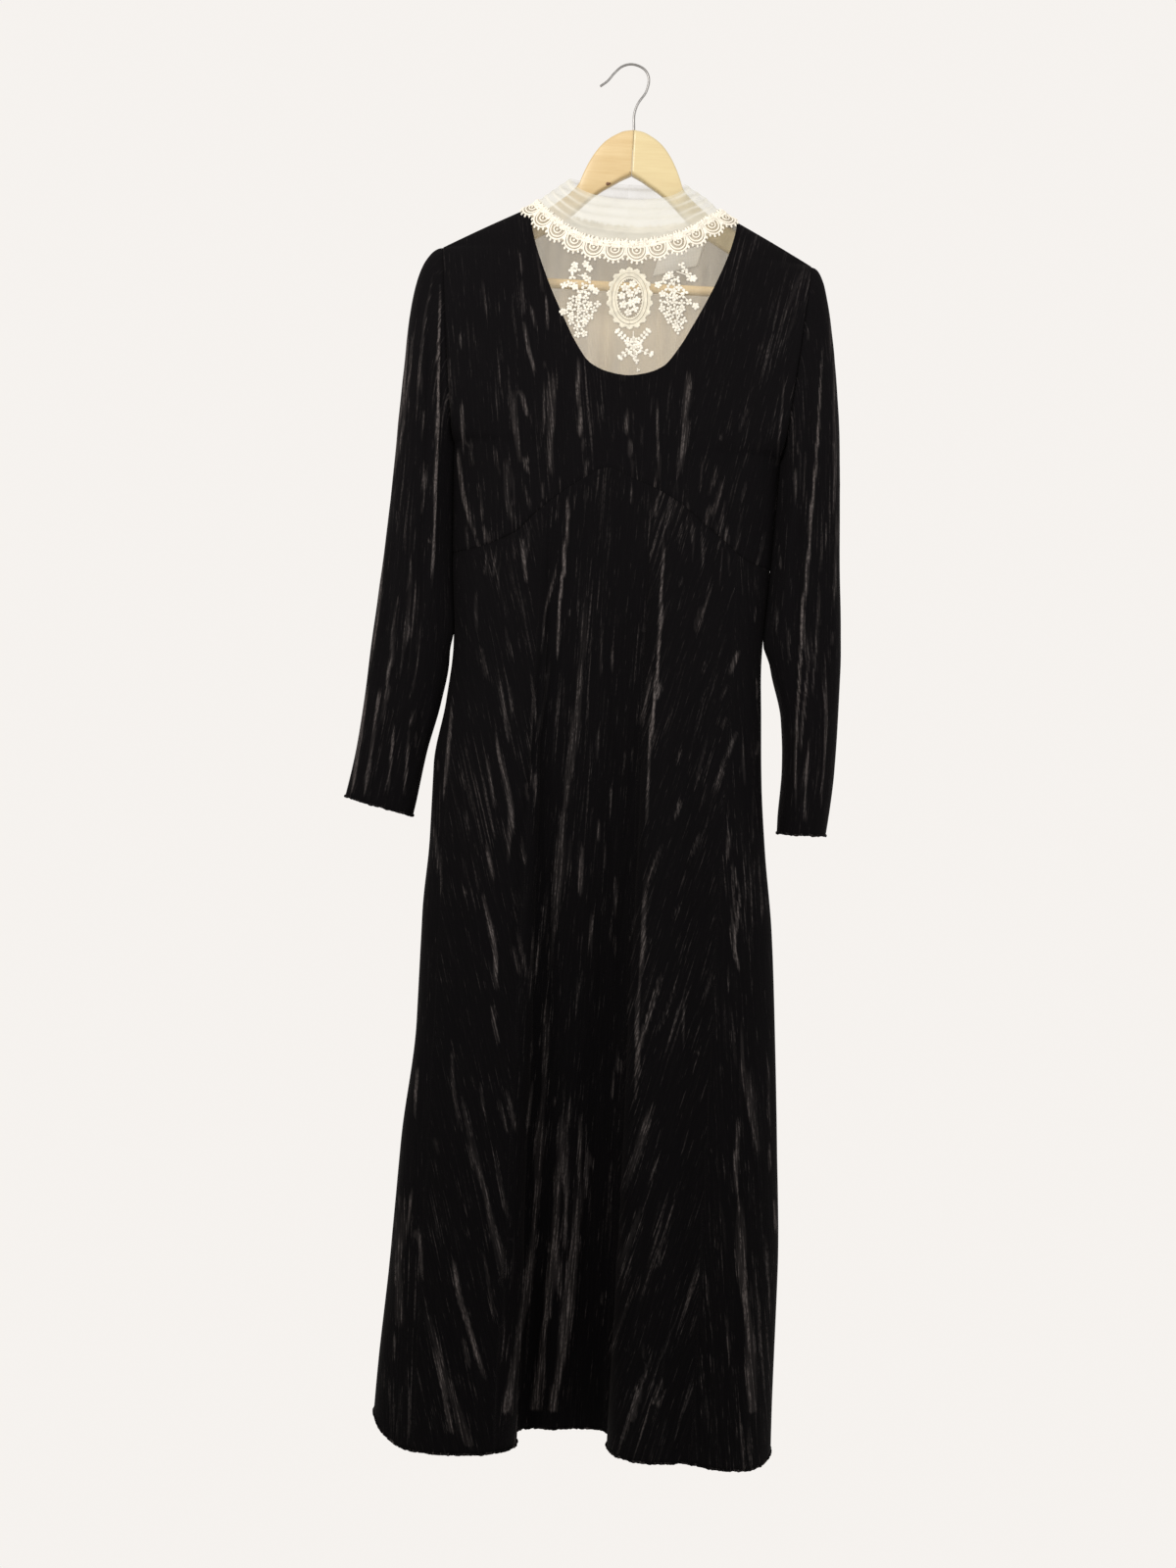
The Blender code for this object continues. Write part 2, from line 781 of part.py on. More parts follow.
front_yoke = yoke_points(FRONT.share[SIDE_COLUMNS : SIDE_COLUMNS + YOKE_COLUMNS + 1], -1)
add_wall("yoke_front", front_yoke, front_yoke - NET_WALL * yoke_normals(front_yoke, -1), NET)

back_yoke_share = BACK.share[BACK_SIDE_COLUMNS : BACK_SIDE_COLUMNS + 2 * BACK_YOKE_COLUMNS + 1]
back_yoke = yoke_points(back_yoke_share, 1)
back_yoke_facing = yoke_normals(back_yoke, 1)
back_yoke[:, BACK_YOKE_COLUMNS, 0] = 0
back_halves = halves(back_yoke, back_yoke_facing, BACK_YOKE_COLUMNS)
for word, (part, facing) in zip(("left", "right"), back_halves):
    add_wall(f"yoke_back_{word}", part, part - NET_WALL * facing, NET)


def neck_ring(angles):
    """Points of the collar seam at angles round the neck, 0 at the front and pi at the back."""
    x = NECK_HALF * np.sin(angles)
    in_front = np.cos(angles) > 0
    z = np.where(in_front, neck_seam_height(x, -1), neck_seam_height(x, 1))
    y = np.where(in_front, body_depth(x, z, -1), body_depth(x, z, 1))
    return np.stack([x, y, z], -1)


def collar_points(angles, shares):
    """Points of the plain collar at angles round the neck and shares of its height."""
    low = neck_ring(angles)
    low[..., 2] += COLLAR_LIFT
    forward = np.cos(angles)
    top_x = COLLAR_TOP_MIDDLE + COLLAR_TOP_HALF * np.sin(angles)
    top_z = COLLAR_TOP_SIDE - COLLAR_FRONT_DIP * np.maximum(forward, 0)
    top_z = top_z + COLLAR_BACK_RISE * np.maximum(-forward, 0)
    top = np.stack([top_x, -COLLAR_TOP_DEPTH * forward, top_z], -1)
    out = np.stack([np.sin(angles), -forward, np.zeros_like(angles)], -1)
    swell = COLLAR_SWELL * np.sin(math.pi * shares)
    return low + (top - low) * shares[..., None] + out * swell[..., None]


def ring_hint(angles):
    return np.stack([np.sin(angles), -np.cos(angles), np.full_like(angles, 0.3)], -1)


# Collar
rows = np.linspace(0, 1, 2 * TUCKS + 1)
turns = np.linspace(-math.pi, math.pi, COLLAR_COLUMNS + 1)
shares, angles = np.meshgrid(rows, turns, indexing="ij")
plain = collar_points(angles, shares)
plain[:, 0, 0] -= SEAM_GAP
plain[:, -1, 0] += SEAM_GAP
facing = grid_normals(plain, ring_hint(angles))
facing[:, [0, -1]] = flattened(facing[:, [0, -1]], 0)
relief = np.where(np.arange(len(rows)) % 2 == 1, TUCK_RELIEF, 0.0)[:, None, None]
add_wall("collar", plain + relief * facing, plain - CHIFFON_WALL * facing, CHIFFON)

# Lace
fine = np.linspace(-math.pi, math.pi, 2001)
walked = np.linalg.norm(np.diff(neck_ring(fine), axis=0), axis=1)
walked = np.concatenate([[0], np.cumsum(walked)])
marks = np.linspace(0, walked[-1], SCALLOPS * SCALLOP_STEPS + 1)
turns = np.interp(marks, walked, fine)
for side in (-math.pi / 2, math.pi / 2):
    turns[np.argmin(np.abs(turns - side))] = side
phase = np.arange(len(turns)) % SCALLOP_STEPS / SCALLOP_STEPS
reach = LACE_SHALLOW + (LACE_DEEP - LACE_SHALLOW) * np.sin(math.pi * phase) ** SCALLOP_ROUND
seam = neck_ring(turns)
sideways = np.abs(np.sin(turns))
run = SHOULDER_RUN * np.sin(turns)
drop = -np.abs(np.cos(turns)) - SHOULDER_DROP * sideways
length = np.hypot(run, drop)
lace = [collar_points(turns, np.full_like(turns, LACE_ABOVE / COLLAR_TALL))]
for share in (LACE_MIDDLE / LACE_DEEP / 4, 1.0):
    x = seam[:, 0] + run / length * reach * share
    z = seam[:, 2] + drop / length * reach * share
    z = np.minimum(z, shoulder_height(x))
    in_front = np.cos(turns) > 1e-9
    y = np.where(in_front, body_depth(x, z, -1), body_depth(x, z, 1))
    y = np.where(np.abs(np.cos(turns)) < 1e-9, 0, y)
    lace.append(np.stack([x, y, z], -1))
lace = np.array(lace)
lace[:, 0, 0] -= SEAM_GAP
lace[:, -1, 0] += SEAM_GAP
facing = grid_normals(lace, ring_hint(turns))
facing[:, [0, -1]] = flattened(facing[:, [0, -1]], 0)
near_ridge = np.exp(-((np.cos(turns) / RIDGE_REACH) ** 2))
lift = LACE_LIFT + LACE_RIDGE_LIFT * near_ridge
lifts = np.stack([lift + LACE_ON_TUCKS, lift + LACE_ON_TUCKS / 2, lift])[..., None]
add_wall("lace_trim", lace + (lifts + LACE_WALL) * facing, lace + lifts * facing, LACE)


def on_yoke(x, z, lift):
    """Points moved out from the front of the dress."""
    base = np.stack([x, body_depth(x, z, -1), z], -1)
    return base + lift * body_normal(x, z, -1)


def add_plate(name, middle_x, middle_z, rim_x, rim_z):
    """A thin plate on the front yoke, domed a little, from its rim."""
    points = []
    for lift, shares in ((CLEAR + MOTIF_WALL, (0, 0.6, 1)), (CLEAR, (1, 0.6, 0))):
        for share in shares:
            x = middle_x + (rim_x - middle_x) * share
            z = middle_z + (rim_z - middle_z) * share
            ring = on_yoke(x, z, lift)
            points.append(ring[:1] if share == 0 else ring)
    count = len(rim_x)
    starts = np.cumsum([0] + [len(ring) for ring in points])
    faces = []
    for k in range(count):
        after = (k + 1) % count
        faces.append((0, starts[1] + k, starts[1] + after))
        for ring in (1, 2, 3):
            a = starts[ring]
            b = starts[ring + 1]
            faces.append((a + k, b + k, b + after, a + after))
        faces.append((starts[4] + k, starts[5], starts[4] + after))
    faces = [tuple(int(v) for v in face) for face in faces]
    return add_mesh(name, np.concatenate(points), faces, LACE)


turns = np.linspace(0, 2 * math.pi, MOTIF_POINTS, endpoint=False)
for name, across, height, half_x, half_z, lobes, depth, taper in MOTIFS:
    lobed = 1 - depth * (1 - np.abs(np.cos(lobes * turns / 2)))
    rim_x = across + half_x * lobed * np.sin(turns) * (1 + taper * np.cos(turns))
    rim_z = height + half_z * lobed * np.cos(turns)
    add_plate(name, across, height, rim_x, rim_z)

across, height, half_x, half_z = MEDALLION
turns = np.linspace(0, 2 * math.pi, 2 * MEDALLION_LOBES, endpoint=False)
scallop = 1 - MEDALLION_SCALLOP * (1 - np.abs(np.sin(MEDALLION_LOBES * turns / 2)))
band = []
for share in (MEDALLION_BAND, (1 + MEDALLION_BAND) / 2, 1):
    lobed = scallop if share == 1 else 1
    x = across + half_x * share * lobed * np.sin(turns)
    z = height + half_z * share * lobed * np.cos(turns)
    band.append((x, z))
outer = np.array([on_yoke(x, z, CLEAR + MOTIF_WALL) for x, z in band])
inner = np.array([on_yoke(x, z, CLEAR) for x, z in band])
add_wall("medallion", outer, inner, LACE, ring=True)

# Label
down, over = np.meshgrid(np.linspace(0.5, -0.5, 3), np.linspace(-0.5, 0.5, 5), indexing="ij")
over = over * LABEL_LONG
down = down * LABEL_TALL
x = LABEL_ACROSS + over * math.cos(LABEL_TILT) - down * math.sin(LABEL_TILT)
z = LABEL_HEIGHT - over * math.sin(LABEL_TILT) + down * math.cos(LABEL_TILT)
behind = np.stack([x, body_depth(x, z, 1), z], -1)
facing = body_normal(x, z, 1)
label_back = behind - (NET_WALL + 2 * CLEAR) * facing
add_wall("neck_label", label_back, label_back - LABEL_WALL * facing, LABEL)


def add_tube(name, rings, surface, shift=HANG_SHIFT):
    """A solid through rings of points, closed by a flat face at each end."""
    count = len(rings[0])
    faces = [tuple(range(count))]
    for ring in range(len(rings) - 1):
        for k in range(count):
            a = ring * count + k
            b = ring * count + (k + 1) % count
            faces.append((b, a, a + count, b + count))
    last = (len(rings) - 1) * count
    faces.append(tuple(reversed(range(last, last + count))))
    return add_mesh(name, np.concatenate(rings), faces, surface, shift)


def add_rod(name, path, sides, surface, along, shift=HANG_SHIFT):
    """A round rod along X (along 0) or Z (along 2): each place on it with its height and radius."""
    turns = np.linspace(0, 2 * math.pi, sides, endpoint=False)
    rings = []
    for place, height, radius in path:
        ring = np.zeros((sides, 3))
        ring[:, 1] = radius * np.cos(turns)
        ring[:, 2 - along] = radius * np.sin(turns) + (height if along == 0 else 0)
        ring[:, along] = place
        rings.append(ring)
    return add_tube(name, rings, surface, shift)


def cut(target, cutter):
    cutter.hide_render = True
    cutter.display_type = "WIRE"
    modifier = target.modifiers.new("cut", "BOOLEAN")
    modifier.operation = "DIFFERENCE"
    modifier.solver = "EXACT"
    modifier.object = cutter


# Hanger
corner = np.linspace(0, math.pi / 2, ARM_POINTS // 4)
hook_hole = add_rod(
    "hook_hole", [(z, 0, HOOK_HOLE_RADIUS) for z in HOOK_HOLE], BAR_SIDES, WOOD, 2
)
for word, side in (("left", -1), ("right", 1)):
    rings = []
    for reach, top, bottom, half in HANGER_ARM:
        ring = []
        round_off = min(ARM_CORNER, half - 0.3)
        for quarter, (side_y, side_z) in enumerate(((1, 1), (-1, 1), (-1, -1), (1, -1))):
            turns = corner + quarter * math.pi / 2
            y = side_y * (half - round_off) + round_off * np.cos(turns)
            edge_z = top - round_off if side_z > 0 else bottom + round_off
            z = edge_z + round_off * np.sin(turns)
            ring.append(np.stack([np.full_like(y, side * reach), y, z], -1))
        rings.append(np.concatenate(ring))
    arm = add_tube(f"hanger_arm_{word}", rings, WOOD)
    cut(arm, hook_hole)
    socket = [(side * place, BAR_HEIGHT, SOCKET_RADIUS) for place in SOCKET]
    cut(arm, add_rod(f"bar_socket_{word}", socket, BAR_SIDES, WOOD, 0))

bar = [
    (-TENON_END, TENON_RADIUS),
    (-BAR_SHOULDER, TENON_RADIUS),
    (-BAR_SHOULDER, BAR_RADIUS),
    (BAR_SHOULDER, BAR_RADIUS),
    (BAR_SHOULDER, TENON_RADIUS),
    (TENON_END, TENON_RADIUS),
]
add_rod("hanger_bar", [(x, BAR_HEIGHT, radius) for x, radius in bar], BAR_SIDES, WOOD, 0)

path = np.array(HOOK_PATH)
away = np.linalg.norm(np.diff(path, axis=0), axis=1)
knots = np.concatenate([[0], np.cumsum(np.sqrt(away))])
places = np.interp(
    np.arange((len(path) - 1) * HOOK_STEPS + 1) / HOOK_STEPS, np.arange(len(path)), knots
)
line = [
    rounded(places, knots, path[:, k], 2 * path[0, k] - path[1, k], 2 * path[-1, k] - path[-2, k])
    for k in (0, 1)
]
line = np.stack([line[0], np.zeros_like(line[0]), line[1]], -1)
ahead = unit(np.gradient(line, axis=0))
aside = np.stack([ahead[:, 2], np.zeros(len(line)), -ahead[:, 0]], -1)
rings = []
for point, across in zip(line, aside):
    turns = np.linspace(0, 2 * math.pi, HOOK_SIDES, endpoint=False)
    ring = point + HOOK_WIRE * np.cos(turns)[:, None] * across
    ring[:, 1] += HOOK_WIRE * np.sin(turns)
    rings.append(ring)
add_tube("hanger_hook", rings, STEEL, 0.0)
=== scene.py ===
"""The dressed look of a long velvet dress with a net yoke, hung on a wooden hanger.

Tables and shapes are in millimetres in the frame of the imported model; meshes are made in metres.
"""

import math

import bpy
import numpy as np
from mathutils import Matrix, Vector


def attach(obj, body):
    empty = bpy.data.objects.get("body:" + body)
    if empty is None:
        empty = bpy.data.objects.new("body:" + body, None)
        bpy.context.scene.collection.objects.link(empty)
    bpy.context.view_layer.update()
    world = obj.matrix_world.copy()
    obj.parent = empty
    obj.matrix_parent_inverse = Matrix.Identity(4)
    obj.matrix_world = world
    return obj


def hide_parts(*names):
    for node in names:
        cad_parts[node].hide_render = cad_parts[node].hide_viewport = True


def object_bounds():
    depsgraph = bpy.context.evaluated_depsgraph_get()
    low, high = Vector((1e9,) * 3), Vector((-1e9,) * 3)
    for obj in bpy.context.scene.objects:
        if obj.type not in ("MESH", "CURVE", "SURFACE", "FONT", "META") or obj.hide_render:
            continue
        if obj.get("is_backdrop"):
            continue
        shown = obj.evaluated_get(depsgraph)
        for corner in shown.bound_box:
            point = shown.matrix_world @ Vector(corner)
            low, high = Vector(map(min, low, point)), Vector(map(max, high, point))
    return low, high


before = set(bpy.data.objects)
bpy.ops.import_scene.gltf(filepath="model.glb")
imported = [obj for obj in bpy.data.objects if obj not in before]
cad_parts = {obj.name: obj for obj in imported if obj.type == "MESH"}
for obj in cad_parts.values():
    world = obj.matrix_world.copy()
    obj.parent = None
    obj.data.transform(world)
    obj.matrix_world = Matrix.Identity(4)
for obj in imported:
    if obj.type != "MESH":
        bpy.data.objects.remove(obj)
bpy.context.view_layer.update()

MM = 0.001

# Thickness of the velvet shell; how much a sewn edge dips and over what distance, and the
# shares of it at the side seams and at the middle of the back
VELVET_SHELL = 1.3
SEAM_DIP = 1.1
SEAM_REACH = 3.2
SIDE_DIP = 0.2
MIDDLE_DIP = 0.9

# How far the middle of the hanger lies to the right of the top of its hook
HANG_SHIFT = 5.5

# Shoulders and armholes
SHOULDER_HALF = 205.0
SHOULDER_END = -213.0
UNDERARM = -430.0
UNDERARM_HALF = 183.0
ARMHOLE_DEPTH = 38.0
ARMHOLE_CLOSING = 60.0
SHOULDER_FALL = 110.0
SHOULDER_ROUND = 1.8
SECTION_ROUND = 2.6
# Rows of the bodice that meet the armhole, as shares of its height, down to the underarm's
ARMHOLE_ROWS = (0, 0.006, 0.028, 0.075, 0.15, 0.26, 0.38, 0.49, 0.575, 0.62, 0.6345)
UNDERARM_SHARE = ARMHOLE_ROWS[-1]
# Columns past this share of the half-width lie on a side seam
EDGE_SHARE = 0.9999

# The shoulder line: distance from the middle, height
SHOULDER_LINE = (
    (0, -120), (60, -138), (104, -160.4), (113, -165), (160, -189), (205, -213),
)

# The two edges of the dress below the underarm: height, left, right
SIDES = (
    (-1560, 216, 229), (-1468, 213, 227), (-1329, 205, 226), (-1203, 200, 219), (-1073, 190, 210),
    (-955, 190, 200), (-867, 186, 188), (-789, 186, 180), (-719, 176, 176), (-657, 171, 173),
    (-555, 178, 178), (-430, 183, 183),
)

# How far the middle of the front and of the back stand out: height, front, back
DEPTHS = (
    (-1560, 46, 60), (-1100, 46, 54), (-750, 47, 48), (-560, 50, 45), (-450, 52, 45), (-350, 48, 42),
    (-250, 43, 38), (-150, 38, 34),
)

# The edge of the velvet round the front yoke and the back yoke: across, height
NECKLINE = (
    (-111, -164), (-105, -199), (-87, -250), (-67, -292), (-50, -323), (-35, -342), (-15, -351),
    (5, -354), (25, -351), (45, -342), (60, -323), (77, -292), (97, -250), (115, -199), (121, -169.2),
)

# The seam between collar and yoke: across, height at the front, height at the back
NECK_SEAM = (
    (-104, -160.4, -160.4), (-98, -169, -164), (-83, -184, -168), (-63, -199, -172), (-44, -208, -175),
    (-21, -211.5, -177), (6, -211.5, -178), (35, -205, -176), (62, -193.5, -172), (84, -177, -167),
    (98, -166, -163), (104, -160.4, -160.4),
)
NECK_HALF = 104.0

# The empire seam: across, height
EMPIRE_SEAM = (
    (-178, -555), (-150, -549), (-107, -531), (-86, -510), (-66, -492), (-36, -470), (-9, -456),
    (18, -466), (46, -477), (76, -494), (97, -511), (120, -527), (150, -549), (178, -556),
)
SEAM_HALF = 178.0
BACK_SEAM_HEIGHT = -548.0

# The front of the skirt, a row per fold or fold side: across at the seam, across at the hem,
# and how far back the hem lies there
FRONT_FOLDS = (
    (-178, -216, 0), (-174, -209, -26), (-160, -186, -48), (-140, -158, -62), (-118, -126, -67),
    (-96.4, -92, -60), (-82, -65, -42), (-74, -54, -12), (-69, -60, 18), (-58, -46, 42), (-34, -14, 34),
    (-2, 18, 44), (24, 41, 46), (38, 53, 22), (43, 46, -8), (52, 55, -40), (68, 80, -58), (88, 110, -56),
    (105.1, 132, -48), (126, 158, -60), (146, 188, -64), (163, 212, -46), (174, 226, -22), (178, 229, 0),
)
FRONT_CORNERS = (5, 18)

# The back of the skirt in the same way
BACK_FOLDS = (
    (-178, -216, 0), (-172, -207, 34), (-156, -182, 66), (-134, -150, 88), (-113, -122, 84),
    (-96.4, -94, 69), (-64, -60, 76), (-38, -34, 92), (-16, -12, 88), (0, 0, 80), (18, 16, 84),
    (44, 46, 94), (74, 82, 84), (105.1, 116, 70), (124, 144, 82), (144, 174, 92), (160, 202, 70),
    (173, 222, 34), (178, 229, 0),
)
BACK_CORNERS = (5, 9, 13)

# Height of the hem: share of the way to the side, height
HEM = (
    (-1, -1510), (-0.93, -1526), (-0.8, -1536), (-0.3, -1536), (0, -1532), (0.3, -1536), (0.8, -1538),
    (0.93, -1538), (1, -1531),
)
FOLD_GROWTH = 0.9

# Sleeve rings from the armhole to the cuff: outer edge across and height, inner edge across
# and height, half the depth
LEFT_SLEEVE = (
    (205.3, -213, 183.3, -430, 38), (214, -217.5, 183.8, -434, 39), (224, -230, 183.6, -440, 40),
    (232, -252, 183.3, -448, 41), (238, -290, 182.9, -460, 42), (241, -345, 182.3, -478, 43),
    (244, -400, 181.4, -502, 44), (247, -470, 179.8, -535, 43), (252, -545, 177.7, -575, 40),
    (258, -615, 174.2, -625, 36), (262.5, -665, 174.4, -672, 33), (266.5, -720, 181.5, -722, 30),
    (272.5, -776, 194, -776, 27), (280, -818, 203, -832, 23), (282.5, -830, 206, -848, 21),
)
RIGHT_SLEEVE = (
    (205.3, -213, 183.3, -430, 38), (212, -217.5, 183.8, -434, 39), (219, -230, 183.6, -440, 40),
    (225, -252, 183.3, -448, 41), (232, -290, 182.9, -460, 42), (240, -345, 182.3, -478, 43),
    (246, -400, 181.4, -502, 44), (250, -470, 179.8, -535, 43), (254, -545, 178, -575, 41),
    (259, -615, 175.8, -622, 38), (261, -665, 184, -667, 36), (261, -720, 198, -720, 35),
    (260, -776, 202, -776, 34), (256, -828, 200, -828, 33), (254, -846, 200, -846, 32),
)
SLEEVE_BLEND = 4
# How far the sleeves lean over the sides of the body, down to which height, and how far their
# seams lap over the bodice at the underarm
SLEEVE_LEAN = 3.9
SLEEVE_FREE = -668
UNDERARM_LAP = 1.2

# The collar: its top ring, how much it swells and its pin tucks
COLLAR_TOP_MIDDLE = -3.0
COLLAR_TOP_HALF = 63.0
COLLAR_TOP_DEPTH = 31.0
COLLAR_TOP_SIDE = -129.0
COLLAR_FRONT_DIP = 29.0
COLLAR_BACK_RISE = 5.0
COLLAR_SWELL = 2.5
COLLAR_LIFT = 0.6
COLLAR_TALL = 53.0
TUCKS = 5
COLLAR_RELIEF = 0.7

# The lace over the collar seam: its scallops, and how it lies on the shoulder
SCALLOPS = 22
SHOULDER_RUN = 0.89
SHOULDER_DROP = 0.45

# The label inside the back of the neck
LABEL_ACROSS = 58.0
LABEL_HEIGHT = -207.0
LABEL_LONG = 52.0
LABEL_TALL = 24.0
LABEL_TILT = math.radians(-15)

# The wooden hanger: distance from its middle, top edge, bottom edge, half-thickness
HANGER_ARM = (
    (0.15, -72.5, -123, 8), (10, -74, -128, 7.6), (21, -79, -135, 7.1), (32, -87, -142, 6.8),
    (41, -98, -149, 6.5), (48, -110, -155.5, 6.3), (54, -123.5, -161.5, 6.1), (58, -134.5, -165.5, 6),
    (80, -156, -185, 6), (100, -169.6, -197, 6), (120, -178.6, -208, 6), (135, -184.8, -215, 6),
    (165, -198.6, -231, 6), (190, -212, -257, 6.2), (204, -220.4, -259, 6), (212, -229, -251, 4.6),
)
ARM_CORNER = 5.4
BAR_HEIGHT = -247.0
BAR_RADIUS = 5.5

# The wire hook: its path across and up, from the wood to the tip
HOOK_WIRE = 1.35
HOOK_PATH = (
    (5.5, -93), (5.5, -72), (5, -54), (8.5, -42), (17, -28), (19, -13), (13.5, -3.5), (0, 1.35),
    (-11, -1.5), (-19.5, -9.5), (-26.5, -18.5), (-34.5, -25),
)


def column(table, index):
    return np.array([row[index] for row in table], float)


def unit(vectors):
    return vectors / np.maximum(np.linalg.norm(vectors, axis=-1, keepdims=True), 1e-9)


def hermite(t, i, step, ys, tangent):
    """A smooth curve from knot i to the next one, at shares t of the step between them."""
    rise = ys[i] * (1 + 2 * t) * (1 - t) ** 2 + ys[i + 1] * (3 - 2 * t) * t**2
    lean = tangent[i] * t * (1 - t) ** 2 + tangent[i + 1] * t**2 * (t - 1)
    return rise + lean * step


def eased(places, xs, ys):
    """Values at the places on a smooth curve through (xs, ys) that never overshoots."""
    xs = np.asarray(xs, float)
    ys = np.asarray(ys, float)
    step = np.diff(xs)
    slope = np.diff(ys) / step
    same = slope[:-1] * slope[1:] > 0
    both = np.where(same, slope[:-1] + slope[1:], 1.0)
    inner = np.where(same, 2 * slope[:-1] * slope[1:] / both, 0.0)
    tangent = np.concatenate([slope[:1], inner, slope[-1:]])
    places = np.clip(places, xs[0], xs[-1])
    i = np.clip(np.searchsorted(xs, places) - 1, 0, len(step) - 1)
    return hermite((places - xs[i]) / step[i], i, step[i], ys, tangent)


def read(table, places, index=1):
    """Smooth values of a table's column at places in its first column."""
    return eased(places, column(table, 0), column(table, index))


def rounded(places, knots, values, start=None, end=None):
    """Values on a rounded curve through the knots; start and end are the values past its ends."""
    start = 2 * values[0] - values[1] if start is None else start
    end = 2 * values[-1] - values[-2] if end is None else end
    gaps = np.diff(knots)
    gaps = np.concatenate([gaps[:1], gaps, gaps[-1:]])
    values = np.concatenate([[start], values, [end]])
    slope = np.diff(values) / gaps
    tangent = (slope[:-1] * gaps[1:] + slope[1:] * gaps[:-1]) / (gaps[1:] + gaps[:-1])
    i = np.clip(np.searchsorted(knots, places) - 1, 0, len(knots) - 2)
    step = knots[i + 1] - knots[i]
    return hermite((places - knots[i]) / step, i, step, values[1:-1], tangent)


def walk(points):
    """How far along a line of points each one lies."""
    return np.concatenate([[0], np.cumsum(np.linalg.norm(np.diff(points, axis=0), axis=1))])


def shoulder_height(x):
    return read(SHOULDER_LINE, np.abs(x))


def half_width(z, side):
    """Distance from the middle to the edge of the dress, side 1 on the left and 2 on the right."""
    share = np.clip((SHOULDER_END - z) / (SHOULDER_END - UNDERARM), 0, 1)
    beside = SHOULDER_HALF + (UNDERARM_HALF - SHOULDER_HALF) * share
    return np.where(z > UNDERARM, beside, read(SIDES, z, side))


def edge(share, z):
    return np.where(share < 0, half_width(z, 1), half_width(z, 2))


def shoulder_rise(drop):
    """Share of the full depth that the cloth has reached this far below the shoulder line."""
    left = 1 - np.clip(drop / SHOULDER_FALL, 0, 1)
    return (1 - left**SHOULDER_ROUND) ** (1 / SHOULDER_ROUND)


def armhole_depth(z):
    closing = np.clip((z - UNDERARM) / ARMHOLE_CLOSING, 0, 1)
    return ARMHOLE_DEPTH * shoulder_rise(SHOULDER_END - z) * np.sqrt(1 - (1 - closing) ** 2)


def body_depth(x, z, face):
    """How far the front (face -1) or the back (face 1) of the dress stands out."""
    share = np.clip(np.abs(x) / edge(x, z), 0, 1)
    full = read(DEPTHS, z, 1 if face < 0 else 2)
    at_edge = armhole_depth(z)
    across = (1 - share**SECTION_ROUND) ** (1 / SECTION_ROUND)
    fall = shoulder_rise(shoulder_height(x) - z)
    return face * (at_edge + (full * fall - at_edge) * across)


def body_point(x, z, face):
    return np.stack([x, body_depth(x, z, face), z], -1)


def body_normal(x, z, face):
    """The direction straight out of the front or the back of the bodice."""
    step = 0.4
    in_x = (body_depth(x + step, z, face) - body_depth(x - step, z, face)) / (2 * step)
    in_z = (body_depth(x, z + step, face) - body_depth(x, z - step, face)) / (2 * step)
    return unit(np.stack([-face * in_x, face * np.ones_like(in_x), -face * in_z], -1))


def grid_normals(points, outward):
    """Normals of a grid of points [row, column], turned to the side of the outward hints."""
    normal = unit(np.cross(unit(np.gradient(points, axis=0)), unit(np.gradient(points, axis=1))))
    return normal * np.sign((normal * outward).sum(-1, keepdims=True).mean())


class Folds:
    """The plan of one face of the skirt, from its table of folds."""

    def __init__(self, table, corners, counts):
        self.seam = column(table, 0) / SEAM_HALF
        hem_x = column(table, 1)
        self.hem = np.where(hem_x < 0, hem_x / half_width(-1540.0, 1), hem_x / half_width(-1540.0, 2))
        self.back = column(table, 2)
        away = np.hypot(np.diff(hem_x), np.diff(self.back))
        self.knots = np.concatenate([[0], np.cumsum(np.sqrt(away))])
        stops = self.knots[[0, *corners, -1]]
        spans = zip(stops[:-1], stops[1:], counts)
        parts = [np.linspace(low, high, count + 1)[:-1] for low, high, count in spans]
        self.places = np.concatenate([*parts, stops[-1:]])
        self.share = eased(self.places, self.knots, self.seam)

    def hem_plan(self):
        across = rounded(self.places, self.knots, self.hem, self.hem[1], self.hem[-2])
        away = rounded(self.places, self.knots, self.back, -self.back[1], -self.back[-2])
        return np.clip(across, -1, 1), away


def empire_height(x, face):
    if face < 0:
        return read(EMPIRE_SEAM, x)
    at_side = read(EMPIRE_SEAM, np.sign(x) * SEAM_HALF)
    return at_side + (1 - (np.abs(x) / SEAM_HALF) ** 2) * (BACK_SEAM_HEIGHT - at_side)


def neckline_height(x):
    outside = (x <= NECKLINE[0][0]) | (x >= NECKLINE[-1][0])
    return np.where(outside, shoulder_height(x), read(NECKLINE, x))


def top_edge(share):
    """Across and height of the bodice's top edge in each column."""
    z = np.full_like(share, SHOULDER_END)
    for _ in range(8):
        z = neckline_height(share * edge(share, z))
    return share * edge(share, z), z


def armhole_frame(side):
    """The direction square to the plane of an armhole."""
    run = side * (UNDERARM_HALF - SHOULDER_HALF)
    return unit(np.array([UNDERARM - SHOULDER_END, 0, -run]))


def neck_seam_height(x, face):
    return read(NECK_SEAM, x, 1 if face < 0 else 2)


def neck_ring(angles):
    """Points of the collar seam at angles round the neck, 0 at the front and pi at the back."""
    x = NECK_HALF * np.sin(angles)
    in_front = np.cos(angles) > 0
    z = np.where(in_front, neck_seam_height(x, -1), neck_seam_height(x, 1))
    y = np.where(in_front, body_depth(x, z, -1), body_depth(x, z, 1))
    return np.stack([x, y, z], -1)


